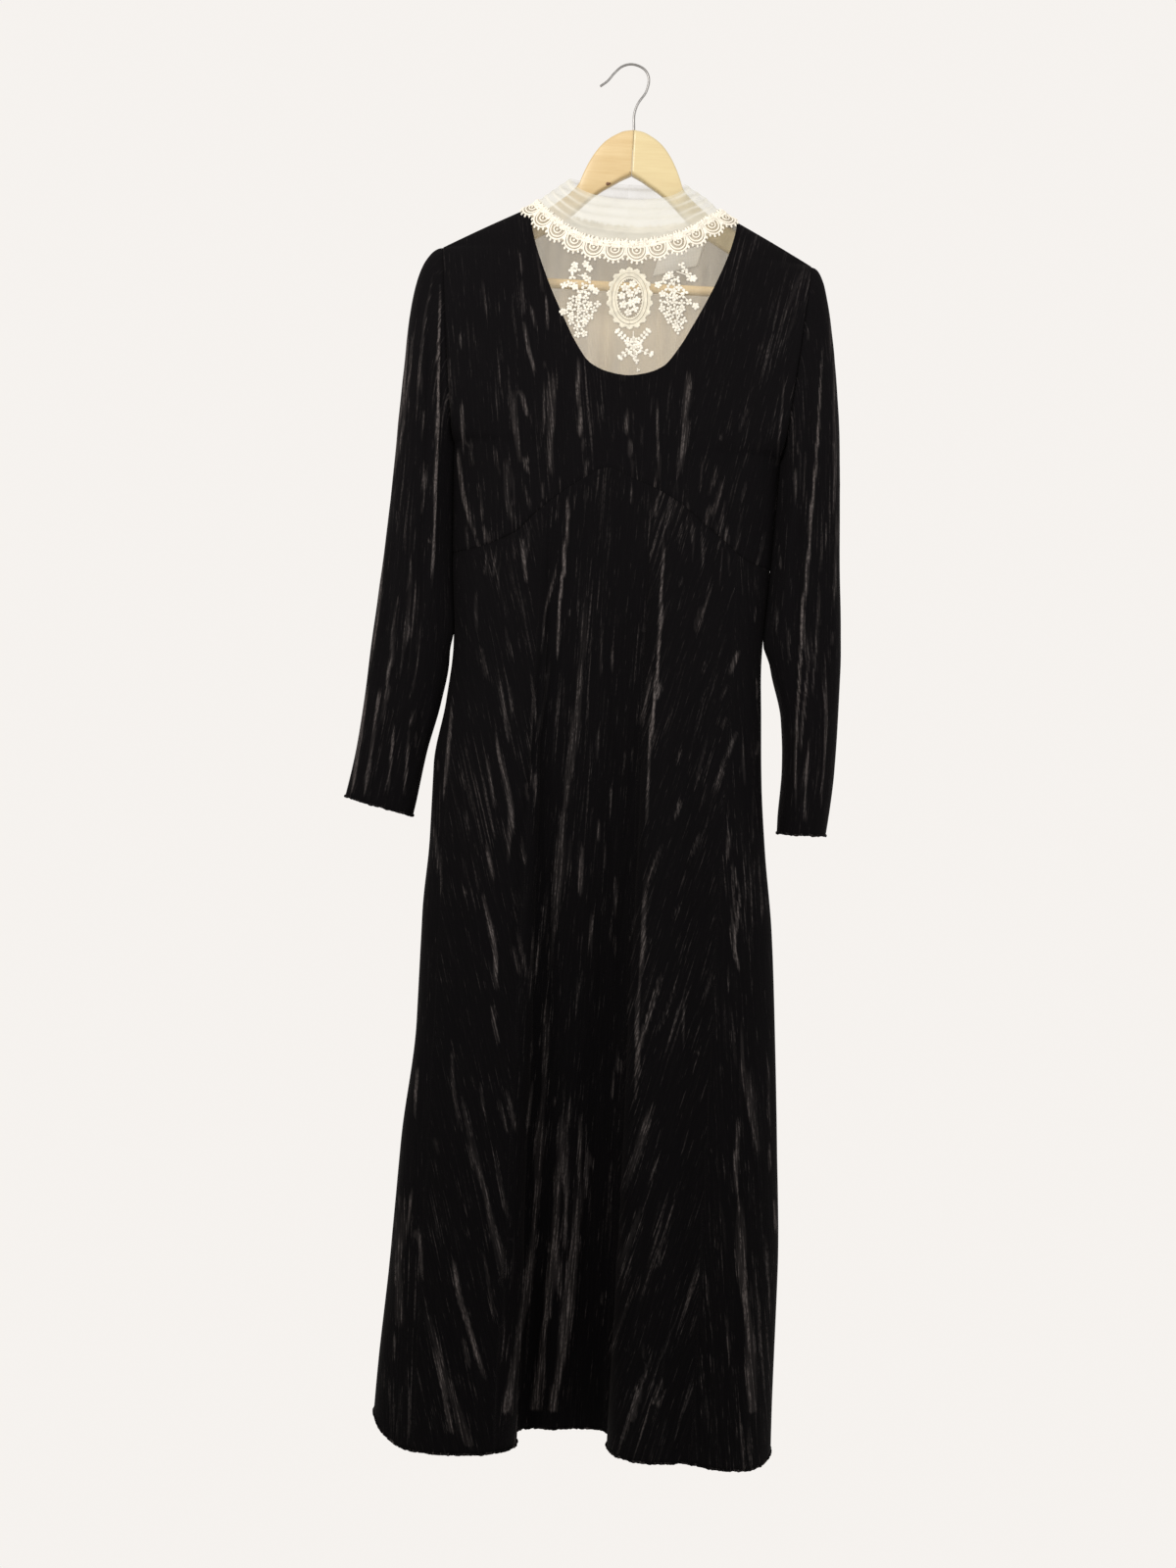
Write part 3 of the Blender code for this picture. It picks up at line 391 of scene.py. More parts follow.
def collar_points(angles, shares):
    """Points of the plain collar at angles round the neck and shares of its height."""
    low = neck_ring(angles)
    low[..., 2] += COLLAR_LIFT
    forward = np.cos(angles)
    top_x = COLLAR_TOP_MIDDLE + COLLAR_TOP_HALF * np.sin(angles)
    top_z = COLLAR_TOP_SIDE - COLLAR_FRONT_DIP * np.maximum(forward, 0)
    top_z = top_z + COLLAR_BACK_RISE * np.maximum(-forward, 0)
    top = np.stack([top_x, -COLLAR_TOP_DEPTH * forward, top_z], -1)
    out = np.stack([np.sin(angles), -forward, np.zeros_like(angles)], -1)
    swell = COLLAR_SWELL * np.sin(math.pi * shares)
    return low + (top - low) * shares[..., None] + out * swell[..., None]


def ring_hint(angles):
    return np.stack([np.sin(angles), -np.cos(angles), np.full_like(angles, 0.3)], -1)


# Creases and crush marks, as the camera sees them: width, how far they stand out, how strong a
# sheen is painted where the pile is brushed up, then places across and heights from the top down
BODICE_CREASES = (
    (2.5, 0.5, 0.45, -120, -212, -116, -240), (3, 0.5, 0.4, -98, -225, -91, -262),
    (4, 1, 0.65, -88, -260, -84, -302), (4.5, 1.2, 0.75, -112, -288, -105, -318, -95, -350),
    (2.5, 0.6, 0.5, -104, -272, -98, -300), (7, 2, 0.9, -119, -362, -115, -405, -106, -455),
    (2.5, 0.8, 0.8, -112, -366, -101, -398), (8, 2.4, 0.9, -122, -438, -120, -480, -111, -522),
    (2.5, 0.6, 0.6, -104, -440, -97, -462), (3, 0.6, 0.4, -102, -470, -92, -505),
    (3, 0.8, 0.45, -86, -352, -82, -420), (7.5, 2.2, 1, -77, -343, -76, -400, -71, -468),
    (4, 1.5, 0.85, -49, -324, -45, -380, -38, -436), (2, 0.4, 0.4, -27, -372, -14, -404),
    (3.5, 1, 0.6, 5, -362, 8, -392, 20, -456), (3.5, 1.1, 0.45, 41, -362, 44, -410, 49, -466),
    (6.5, 2.2, 0.9, 75, -333, 74, -390, 69, -458), (3, 0.6, 0.35, 99, -264, 103, -302),
    (3, 0.7, 0.4, 98, -425, 94, -475), (3, 0.8, 0.45, 112, -440, 104, -478),
    (5, 1.2, 0.5, 118, -452, 110, -500), (4, 1, 0.5, 106, -482, 100, -508),
    (5, 1.2, 0.45, 124, -474, 119, -517), (4, 0.9, 0.45, 196, -216, 186, -245, 176, -275),
    (3.5, 0.8, 0.4, 195, -258, 182, -292, 167, -322), (3, 0.6, 0.4, 182, -330, 180, -385, 178, -440),
    (4, 1, 0.8, 190, -436, 188, -500), (2.5, 0.6, 0.4, 182, -450, 180, -520),
    (4, 1, 0.75, -176, -383, -171, -425, -164, -436), (4, 1.1, 0.8, -177, -432, -170, -480, -152, -538),
    (2.5, 0.5, 0.6, -146, -518, -135, -545), (3, 0.7, 0.55, -151, -533, -145, -562),
    (2.5, 0.5, 0.35, -193, -333, -190, -366), (6, -1, 0, -150, -250, -147, -300),
    (8, -1.6, 0, -60, -330, -56, -440), (7, -2, 0, -95, -380, -90, -470),
    (12, -2, 0, -140, -380, -133, -500), (9, -1.6, 0, 60, -345, 58, -455), (9, -1, 0, 28, -370, 34, -460),
    (9, -1, 0, -14, -368, -6, -448), (16, -2, 0, 140, -300, 134, -500), (7, -1.6, 0, 88, -340, 84, -470),
)
SKIRT_CREASES = (
    (4.5, 3, 1, -51, -478, -52, -530, -55, -613, -55, -668),
    (3, 1.2, 0.55, -61, -560, -70, -622, -71, -665),
    (7, -4, 0, -66, -520, -71, -700, -80, -900, -84, -1100),
    (7.5, 2.4, 0.85, -26, -560, -27, -625, -29, -726, -36, -800, -41, -900, -42, -960, -46, -1050),
    (8, 2.4, 0.85, -46, -1010, -45, -1150, -46, -1250, -50, -1350, -58, -1410, -67, -1508),
    (3.5, 1.1, 0.55, -5, -560, -5, -620, -3, -720, -6, -790), (2.5, 0.7, 0.7, -15, -868, -15, -930),
    (4.5, 0.8, 0.5, 0, -838, 1, -868), (2.5, 0.8, 0.5, 25, -900, 22, -982),
    (3.5, 0.8, 0.5, -3, -940, 2, -1000),
    (4.5, 3.2, 0.95, 57, -515, 58, -600, 57, -700, 54, -775, 54, -852),
    (5.5, 2.4, 0.7, 57, -890, 58, -950, 58, -1000, 57, -1060, 59, -1105, 57, -1160),
    (8, -4.5, 0, 42, -540, 42, -700, 40, -860, 36, -1050), (5.5, 1.2, 0.65, 75, -858, 64, -892, 54, -922),
    (3, 0.7, 0.5, 116, -848, 106, -880), (3, 0.9, 0.8, 148, -643, 137, -674),
    (2.5, 0.5, 0.45, 138, -680, 128, -705), (3, 0.6, 0.45, 103, -594, 94, -628),
    (2.5, 0.5, 0.6, 64, -684, 58, -706), (3, 0.9, 0.6, 150, -732, 139, -768),
    (2.5, 0.5, 0.5, 138, -718, 131, -735), (2.5, 0.5, 0.4, 93, -752, 81, -778),
    (3, 0.6, 0.5, 92, -812, 84, -842), (5, 1, 0.5, 98, -926, 88, -950),
    (4, 1.3, 0.7, 81, -1003, 71, -1045, 60, -1094), (4, 0.8, 0.4, 109, -1018, 107, -1098),
    (7, 1.4, 0.5, 79, -1086, 69, -1112, 57, -1150), (4, 1, 0.45, 66, -1070, 57, -1120),
    (8, 2.2, 0.95, 78, -1150, 67, -1195, 52, -1260), (9, 2, 0.85, 75, -1258, 66, -1290, 50, -1350),
    (8, 1.2, 0.4, 63, -1322, 55, -1376), (5, 0.9, 0.45, 84, -1415, 83, -1442),
    (4, 0.9, 0.5, 106, -1453, 96, -1488), (4.5, 0.9, 0.45, 83, -1472, 74, -1508),
    (4, 0.6, 0.25, 126, -1395, 113, -1440),
    (8.5, 2.2, 0.95, -19, -1150, -22, -1260, -24, -1330, -28, -1400, -36, -1505),
    (3, 1, 0.5, -12, -1190, -14, -1330, -16, -1380),
    (9.5, 2.2, 1, 1, -1230, -3, -1350, -7, -1400, -10, -1450, -16, -1505),
    (3, 0.9, 0.55, -2, -1165, -2, -1262), (3.5, 0.8, 0.45, 10, -1180, 8, -1270),
    (3.5, 0.6, 0.4, 5, -1300, 2, -1380),
    (8, 2.6, 1, -128, -1180, -119, -1215, -106, -1258, -97, -1290, -84, -1331, -75, -1372),
    (4.5, 1.5, 0.75, -137, -1332, -127, -1375, -117, -1405, -104, -1441, -92, -1476),
    (9, 2.4, 1, -178, -1380, -168, -1388, -157, -1410, -146, -1440, -122, -1508, -105, -1548),
    (4, 1.2, 0.6, -152, -1432, -140, -1475, -128, -1530),
    (10, 1.6, 0.75, -198, -1265, -194, -1350, -190, -1432),
    (5, 1, 0.5, -150, -1100, -144, -1150, -136, -1198), (3.5, 0.7, 0.4, -136, -1150, -122, -1215),
    (3, 0.6, 0.4, -116, -1138, -109, -1178), (4, 0.9, 0.5, -108, -1050, -103, -1075, -96, -1100),
    (2.5, 0.7, 0.5, -87, -1142, -72, -1198), (3, 0.8, 0.45, -57, -1130, -61, -1192),
    (4, 0.9, 0.45, -176, -1300, -167, -1368), (3, 0.9, 0.4, -104, -1320, -84, -1410),
    (5, 1.5, 0.65, -168, -715, -170, -770, -173, -832), (5, 1, 0.5, -182, -852, -172, -912),
    (6, 2, 0.8, -121, -735, -115, -765, -107, -795, -98, -835, -97, -905),
    (3, 1, 0.6, -118, -688, -103, -765), (6, 1.4, 0.5, -116, -625, -111, -645, -104, -672),
    (3, 0.8, 0.5, -128, -772, -115, -840), (3, 0.8, 0.5, -124, -868, -111, -918),
    (4, 1.4, 0.75, -126, -925, -107, -990, -103, -1042), (2.5, 0.6, 0.55, -83, -802, -77, -826),
    (3, 0.6, 0.4, -80, -690, -77, -775), (3, 0.8, 0.5, -88, -982, -77, -1022),
    (3, 0.6, 0.4, -84, -860, -76, -900), (5.5, 1, 0.4, -149, -590, -145, -645),
    (3, 0.6, 0.4, -140, -652, -132, -695), (4, 1.3, 0.75, -101, -532, -93, -585),
    (3, 0.6, 0.35, -126, -560, -123, -600), (2.5, 0.7, 0.4, -108, -690, -100, -740),
    (5, 1, 0.6, 147, -845, 146, -880), (3, 0.8, 0.5, 151, -880, 159, -910),
    (3.5, 1.2, 0.7, 163, -912, 159, -965, 167, -1004), (5.5, 1, 0.35, 161, -1064, 170, -1120),
    (8.5, 1.8, 0.9, 176, -1100, 186, -1150, 199, -1215), (4, 0.9, 0.5, 171, -1200, 177, -1255),
    (8.5, 2.2, 0.95, 179, -1240, 184, -1300, 188, -1350, 197, -1400, 207, -1492),
    (4, 0.8, 0.35, 171, -1380, 178, -1436), (3, 0.5, 0.3, 148, -1340, 152, -1380),
    (3, 0.8, 0.5, 182, -583, 184, -640), (2.5, 0.5, 0.4, 163, -592, 163, -615),
    (2.5, 0.6, 0.4, 156, -740, 162, -800), (12, -2, 0, 150, -960, 156, -1040),
    (14, -2.4, 0, 120, -620, 112, -900, 122, -1200), (16, -2.4, 0, -150, -850, -136, -1050, -150, -1150),
    (7, -1.8, 0, -30, -700, -18, -1100, -44, -1480),
    (9, -1.8, 0, 12, -600, 16, -900, 14, -1200, 22, -1480),
    (7, -2.4, 0, -115, -1250, -92, -1340, -86, -1420), (7, -2, 0, -146, -1350, -126, -1450, -104, -1510),
    (9, -2, 0, 168, -1150, 178, -1260, 180, -1400, 192, -1500),
    (9, -2, 0, 96, -1180, 82, -1260, 74, -1360),
)

# The same on the sleeves' fronts
LEFT_SLEEVE_CREASES = (
    (2.8, 3, 1, -207, -250, -205, -300, -203, -380, -200, -500, -198, -600),
    (5, -3.5, 0, -216, -270, -212, -400, -209, -520, -206, -640),
    (4, 1.2, 0.7, -240, -290, -240, -380, -250, -440),
    (2.5, 0.8, 0.5, -233, -300, -238, -400, -252, -500), (4, 1, 0.4, -214, -235, -222, -300, -226, -420),
    (3.5, 1, 0.7, -244, -400, -247, -450, -256, -560), (4, 1, 0.6, -252, -500, -255, -600, -262, -690),
    (6, -2.4, 0, -240, -500, -246, -600, -250, -700), (3.5, 1, 0.45, -236, -600, -240, -680, -246, -760),
    (3, 0.8, 0.4, -222, -560, -224, -640, -228, -700),
    (3.5, 0.8, 0.4, -207, -620, -211, -690, -214, -720),
    (4, 1.2, 0.7, -263, -700, -268, -760, -276, -830),
    (3.5, 1.2, 0.6, -250, -700, -256, -780, -262, -835), (6, -2.4, 0, -240, -720, -243, -790, -246, -840),
    (3.5, 1.2, 0.5, -232, -740, -234, -790, -236, -830),
    (3.5, 1, 0.5, -215, -745, -216, -790, -218, -830), (4, -1.6, 0, -196, -700, -203, -760, -206, -800),
)
RIGHT_SLEEVE_CREASES = (
    (4, 3, 0.85, 223, -290, 222, -350, 221, -450, 219, -520, 216, -600, 216, -700, 220, -832),
    (5.5, -4, 0, 212, -300, 209, -420, 206, -520, 206, -640),
    (4, 1, 0.5, 234, -300, 240, -400, 244, -500), (4, 0.8, 0.4, 228, -250, 232, -320),
    (4, 0.9, 0.45, 247, -480, 250, -600), (4, 1, 0.5, 232, -560, 233, -640, 231, -700),
    (5, -2, 0, 238, -590, 240, -700), (3, 0.9, 0.55, 226, -640, 223, -700, 222, -760),
    (4, -1.8, 0, 208, -620, 212, -700, 211, -780), (4, 1, 0.5, 244, -640, 248, -740, 247, -820),
    (4, 1, 0.5, 232, -730, 229, -780, 231, -838), (5, -1.8, 0, 238, -740, 238, -835),
)

# The same on the parts that the camera doesn't see, as seen from behind: half of them mirrored
BACK_BODICE_CREASES = (
    (5, 1.4, 0.6, -150, -240, -140, -320, -126, -420), (7, 2.2, 0.8, -120, -300, -112, -400, -96, -520),
    (4, 1.5, 0.6, -84, -370, -78, -450, -70, -538), (6, -1.6, 0, -60, -420, -56, -520),
    (5, 1.7, 0.7, -44, -380, -40, -470, -34, -540), (4, 1, 0.4, -20, -400, -18, -530),
    (6, 1.8, 0.7, 26, -375, 30, -450, 34, -536), (3.5, 1.2, 0.5, 58, -350, 60, -440, 66, -530),
    (8, 2.2, 0.8, 90, -300, 96, -420, 92, -530), (9, -2.2, 0, 112, -330, 116, -500),
    (5, 1.4, 0.6, 140, -260, 136, -380, 128, -500), (4, 1.2, 0.5, 164, -300, 160, -440, 158, -530),
    (4, 1.2, 0.6, -168, -330, -160, -440, -150, -536),
)
BACK_SKIRT_CREASES = (
    (6, 1.8, 0.6, -150, -580, -158, -760, -166, -960),
    (5, 2, 0.75, -128, -570, -118, -700, -122, -900, -130, -1100),
    (8, -2.8, 0, -100, -600, -96, -800, -92, -1040), (5, 2, 0.8, -84, -560, -76, -700, -74, -860),
    (7, 2.2, 0.7, -70, -880, -78, -1080, -76, -1300, -82, -1500),
    (4, 1.3, 0.5, -46, -580, -40, -760, -44, -980), (7, -2.2, 0, -22, -570, -20, -800, -26, -1060),
    (5, 1.8, 0.7, -30, -1040, -34, -1240, -30, -1500), (4.5, 1.8, 0.7, 22, -566, 20, -680, 26, -820),
    (7, 2.2, 0.75, 34, -840, 38, -1060, 36, -1300, 44, -1510),
    (8, -2.6, 0, 56, -580, 58, -800, 64, -1100), (5, 2, 0.8, 74, -566, 82, -700, 80, -900),
    (6, 2, 0.65, 96, -920, 104, -1120, 100, -1360), (5, 1.6, 0.6, 118, -580, 126, -780, 134, -1000),
    (6, 1.8, 0.6, 150, -600, 156, -820, 170, -1080), (7, 1.8, 0.6, -180, -1060, -176, -1260, -168, -1480),
    (6, 2.2, 0.75, -146, -1120, -138, -1300, -120, -1500), (9, -2.6, 0, -112, -1200, -110, -1480),
    (8, 1.4, 0.4, 0, -1180, 4, -1500), (6, 2, 0.7, 130, -1180, 136, -1340, 128, -1500),
    (7, 2, 0.65, 168, -1200, 176, -1360, 190, -1500),
)
BACK_SLEEVE_CREASES = (
    (4, 2, 0.8, 206, -260, 208, -380, 204, -520), (6, -2.4, 0, 222, -300, 224, -420, 222, -560),
    (4, 1.4, 0.6, 236, -290, 240, -420, 246, -560), (5, 2, 0.8, 212, -560, 214, -680, 222, -820),
    (6, -2.2, 0, 232, -580, 236, -700, 240, -830), (4, 1.3, 0.6, 250, -620, 254, -720, 256, -820),
)

# Where the camera stands in front of the dress and how far it turns about its view
EYE = (-13.0, -2400.0, -802.0)
EYE_TURN = math.radians(-3)
EYE_LENS = 49.45

# Half the width of the thinnest crush mark's painted sheen, high on the dress and at its hem, and
# how much wider a slanting one is, so that the rows of points carry it
LEAST_MARK = (1.5, 2.1)
SLANT_MARK = 4.8
# Marks that end below this height keep their painted sheen bright down to the hem
HEM_MARK = -1485
# A crease's reach to either side in widths; how far it wanders, in widths, and over what lengths
CREASE_REACH = 3.5
WANDER = 0.08
LONG_WAVE = 23
SHORT_WAVE = 9.3
# Up to this width a mark's painted sheen covers the least share of it, and is brightest
FINE_MARK = 4.5


def seen(points):
    """Across and height of points as the camera sees them at the plane of the dress."""
    nearer = 1 + points[..., 1] / -EYE[1]
    x = EYE[0] + (points[..., 0] - EYE[0]) / nearer
    z = EYE[2] + (points[..., 2] - EYE[2]) / nearer
    return x, z


def relief(table, x, z):
    """How far the cloth stands out and how strong its painted sheen is, from a table of creases."""
    height = np.zeros_like(x)
    nap = np.zeros_like(x)
    for number, (width, rise, sheen, *places) in enumerate(table):
        line = np.array(places, float).reshape(-1, 2)[::-1]
        low = line[0, 1]
        high = line[-1, 1]
        reach = CREASE_REACH * width
        near = (z > low) & (z < high)
        near &= (x > line[:, 0].min() - reach) & (x < line[:, 0].max() + reach)
        if not near.any():
            continue
        at = z[near]
        share = (at - low) / (high - low)
        wave = np.sin(at / LONG_WAVE + 1.7 * number) + 0.5 * np.sin(at / SHORT_WAVE + 2.9 * number)
        off = x[near] - eased(at, line[:, 1], line[:, 0]) - WANDER * width * wave
        wide = width * (1 + 0.25 * np.sin(at / LONG_WAVE + number))
        taper = 1 - np.abs(2 * share - 1) ** 3
        height[near] += rise * taper * np.exp(-((off / wide) ** 2))
        # A wide mark's painted sheen covers more of its width, and is less bright
        spread = np.clip(0.32 + 0.14 * (width - FINE_MARK), 0.32, 0.7)
        slant = abs(line[-1, 0] - line[0, 0]) / (high - low)
        bright = np.clip(1 - 0.2 * (width - FINE_MARK), 0.44, 1) * np.clip(1 - 0.9 * slant, 0.6, 1)
        least = np.interp(at, (-1500, -500), LEAST_MARK[::-1]) + SLANT_MARK * slant
        if low < HEM_MARK:
            taper = np.where(share < 0.5, 1.0, taper)
        brushed_sheen = bright * sheen * taper**0.7 * np.exp(-((off / np.maximum(spread * wide, least)) ** 4))
        nap[near] = np.maximum(nap[near], brushed_sheen)
    return height, nap


def scattered(seed, count, box, lean, longest):
    """Small crush marks, with relief and painted sheen, strewn over a part of the dress, along its grain."""
    random = np.random.default_rng(seed)
    marks = []
    for _ in range(count):
        x = random.uniform(min(box[:2]), max(box[:2]))
        z = random.uniform(box[2], box[3])
        long = random.uniform(0.2, 1) ** 1.6 * longest
        slope = lean(x, z) + random.normal(0, 0.035)
        sizes = (random.uniform(1.6, 3.4), random.uniform(0.2, 0.7), random.uniform(0.0, 0.62) ** 1.5)
        marks.append(sizes + (x, z, x + slope * long, z - long))
    return tuple(marks)


def gathers(random, starts, face, up, longest):
    """Small gathers with a faint painted sheen that fan out from the empire seam, above it or below it."""
    made = []
    for start, end, pitch in starts:
        for x in np.arange(start, end, pitch):
            x = x + random.uniform(-1.2, 1.2)
            foot = float(empire_height(np.array(x), face))
            long = random.uniform(0.45, 1) * longest
            slip = random.uniform(-0.12, 0.12) * long
            line = (x + slip, foot + long, x, foot) if up else (x, foot + 3, x + slip, foot - long)
            sizes = (random.uniform(1.4, 2.1), random.uniform(0.5, 1.2), random.uniform(0.1, 0.4))
            made.append(sizes + line)
    return tuple(made)


# How the marks lean: up to this far across, lean high up, how much more it is at the hem
SKIRT_LEAN = ((-170, 0.03, 0), (-78, 0.19, 0.14), (42, -0.03, 0), (140, -0.24, -0.04), (999, 0, 0.16))
BODICE_LEAN = ((28, 0.13, 0), (82, -0.04, 0), (999, -0.22, 0))
# How the pile's fine marks lean: up to this far across, lean
GRAIN_ZONES = {
    "skirt": ((-170, 0.03), (-78, 0.27), (42, -0.03), (140, -0.26), (999, 0.12)),
    "bodice": ((28, 0.13), (82, -0.04), (999, -0.2)),
    "back": ((-60, 0.1), (60, 0.0), (999, -0.1)),
}


def zone_lean(zones, x, z):
    low = np.clip((-600 - z) / 900, 0, 1)
    return next(lean + more * low for end, lean, more in zones if x < end)


def grain_at(across, along, zone=0):
    """Places across and along the cloth, for the fine marks of its shader."""
    return np.stack([across * MM, along * MM, zone + 0 * across], -1)


def grain_of(x, z, zones):
    """Places along and across the pile of a panel."""
    across = x.copy()
    zone = np.zeros_like(x)
    before = -9999
    for number, (end, slope) in enumerate(zones):
        inside = (x >= before) & (x < end)
        across[inside] = x[inside] + slope * z[inside]
        zone[inside] = 0.37 * number
        before = end
    return grain_at(across, -z, zone)


def grid_faces(rows, columns, ring):
    place = np.arange(columns if ring else columns - 1)
    after = (place + 1) % columns
    row = np.arange(rows - 1)[:, None] * columns
    return np.stack([row + place, row + columns + place, row + columns + after, row + after], -1)


def tube_faces(rows, sides):
    """Faces of a tube of rings, closed at both ends."""
    last = (rows - 1) * sides
    ends = [list(range(sides)), list(range(last, last + sides))[::-1]]
    return grid_faces(rows, sides, True).reshape(-1, 4).tolist() + ends


def linked(name, data):
    made = bpy.data.objects.new(name, data)
    bpy.context.collection.objects.link(made)
    return made


def add_mesh(name, node, points, faces, surface, marks=None, shift=HANG_SHIFT):
    """A smooth piece from points in millimetres that stands for a node, with values on its points."""
    points = np.array(points, float).reshape(-1, 3)
    points[:, 0] += shift
    mesh = bpy.data.meshes.new(name)
    mesh.from_pydata((points * MM).tolist(), [], [tuple(face) for face in faces])
    mesh.polygons.foreach_set("use_smooth", np.ones(len(mesh.polygons), bool))
    mesh.materials.append(surface)
    for word, values in (marks or {}).items():
        vector = values.ndim > 1 and values.shape[-1] == 3
        layer = mesh.attributes.new(word, "FLOAT_VECTOR" if vector else "FLOAT", "POINT")
        layer.data.foreach_set("vector" if vector else "value", np.asarray(values, np.float32).ravel())
    mesh.update()
    made = linked(name, mesh)
    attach(made, "root")
    word = surface.name.split(".")[0]
    if node:
        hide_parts(node)


def rim(p, q, size):
    return np.stack([p, q, q + size, p + size], -1)


def add_cloth(name, node, outer, facing, surface, thick=VELVET_SHELL, ring=False, **marks):
    """A sheet of cloth from a grid of points; with a thickness it gets a second layer and a rim."""
    rows, columns = outer.shape[:2]
    size = rows * columns
    points = outer.reshape(-1, 3)
    faces = grid_faces(rows, columns, ring).reshape(-1, 4)
    a, b, c, d = (points[faces[:, k]] for k in range(4))
    turned = (np.cross(c - a, d - b) * facing.reshape(-1, 3)[faces[:, 0]]).sum() < 0
    marks = {word: v.reshape(size, -1) if v.ndim == 3 else v.ravel() for word, v in marks.items()}
    if thick:
        grid = np.arange(size).reshape(rows, columns)
        left, right = grid[:, 0], grid[:, -1]
        rims = [] if ring else [rim(left[1:], left[:-1], size), rim(right[:-1], right[1:], size)]
        closed = np.concatenate([grid, grid[:, :1]], axis=1) if ring else grid
        top, bottom = closed[0], closed[-1]
        rims += [rim(top[:-1], top[1:], size), rim(bottom[1:], bottom[:-1], size)]
        faces = np.concatenate([faces, faces[:, ::-1] + size, *rims])
        points = np.concatenate([points, (outer - thick * facing).reshape(-1, 3)])
        marks = {word: np.concatenate([v, v]) for word, v in marks.items()}
    if turned:
        faces = faces[:, ::-1]
    add_mesh(name, node, points, faces.tolist(), surface, marks)


class Heap:
    """Many small things gathered into one mesh."""

    def __init__(self):
        self.parts = []
        self.faces = []
        self.count = 0

    def add(self, points, faces):
        self.parts.append(points)
        self.faces += [[v + self.count for v in face] for face in faces]
        self.count += len(points)

    def thread(self, path, radius, sides=6):
        """A round thread along a path; its radius is one number or one for each point."""
        path = np.asarray(path, float)
        ahead = unit(np.gradient(path, axis=0))
        aside = unit(np.cross(ahead, np.array([0.31, 0.9, 0.29])))
        above = np.cross(aside, ahead)
        turns = np.linspace(0, 2 * math.pi, sides, endpoint=False)
        radius = np.broadcast_to(np.asarray(radius, float), len(path))[:, None, None]
        around = np.cos(turns)[:, None] * aside[:, None] + np.sin(turns)[:, None] * above[:, None]
        self.add((path[:, None] + radius * around).reshape(-1, 3), tube_faces(len(path), sides))

    def bead(self, centre, out, along, sizes, sides=8, rings=4):
        """A rounded bead or petal: half its length, half its width and half its height."""
        along = unit(along - (along @ out) * out)
        aside = np.cross(out, along)
        points = [centre + out * sizes[2]]
        for tilt in np.linspace(0, math.pi, rings + 1)[1:-1]:
            for turn in np.linspace(0, 2 * math.pi, sides, endpoint=False):
                flat = along * math.cos(turn) * sizes[0] + aside * math.sin(turn) * sizes[1]
                points.append(centre + flat * math.sin(tilt) + out * sizes[2] * math.cos(tilt))
        points.append(centre - out * sizes[2])
        lows = [1 + ring * sides for ring in range(rings - 1)]
        faces = []
        for k in range(sides):
            after = (k + 1) % sides
            faces.append([0, 1 + k, 1 + after])
            faces += [[low + k, low + sides + k, low + sides + after, low + after] for low in lows[:-1]]
            faces.append([lows[-1] + k, len(points) - 1, lows[-1] + after])
        self.add(np.array(points), faces)

    def build(self, name, node, surface, shift=HANG_SHIFT, marks=None):
        add_mesh(name, node, np.concatenate(self.parts), self.faces, surface, marks, shift)


def bodice_points(share, face, rows):
    _, top = top_edge(share)
    seam = empire_height(share * SEAM_HALF, face)
    z = top + (seam - top) * rows[:, None]
    points = body_point(share * edge(np.broadcast_to(share, z.shape), z), z, face)
    points[0, :, 1] = np.where(on_ridge(points), 0.0, points[0, :, 1])
    return points


def on_ridge(points):
    """Which columns of a bodice start on the shoulder line."""
    return np.abs(points[0, :, 2] - shoulder_height(points[0, :, 0])) < 0.5


def bodice_normals(points, share, face, underarm):
    normals = body_normal(points[..., 0], points[..., 2], face)
    ridge = normals[0].copy()
    ridge[:, 1] = 0
    ridge[:, 2] = np.maximum(ridge[:, 2], 0.5)
    normals[0] = np.where(on_ridge(points)[:, None], unit(ridge), normals[0])
    for place in np.flatnonzero(np.abs(share) > EDGE_SHARE):
        side = np.sign(share[place])
        square = armhole_frame(side)
        beside = normals[: underarm + 1, place]
        normals[: underarm + 1, place] = unit(beside - (beside @ square)[:, None] * square)
        normals[underarm:, place] = (side, 0, 0)
    return normals


def skirt_points(folds, face, rows):
    share = folds.share
    hem_share, hem_back = folds.hem_plan()
    t = rows[:, None]
    growth = t**FOLD_GROWTH
    blend = share + (hem_share - share) * growth
    seam = empire_height(share * SEAM_HALF, face)
    z = seam + (read(HEM, hem_share) - seam) * t
    x = blend * edge(blend, z)
    base = body_depth(np.clip(share, -1, 1) * edge(blend, z) * 0.99999, z, face)
    y = np.where(np.abs(share) > EDGE_SHARE, 0.0, base * (1 - growth) + hem_back * growth)
    return np.stack([x, y, z], -1)


def skirt_normals(points, share, face):
    normals = grid_normals(points, np.array([0, face, 0]))
    normals[0] = body_normal(points[0, :, 0], points[0, :, 2], face)
    for place in np.flatnonzero(np.abs(share) > EDGE_SHARE):
        normals[:, place] = (np.sign(share[place]), 0, 0)
    return normals


def beside_seam(away):
    """How a sewn edge dips, from the distance to it."""
    return -SEAM_DIP * np.exp(-((away / SEAM_REACH) ** 2))


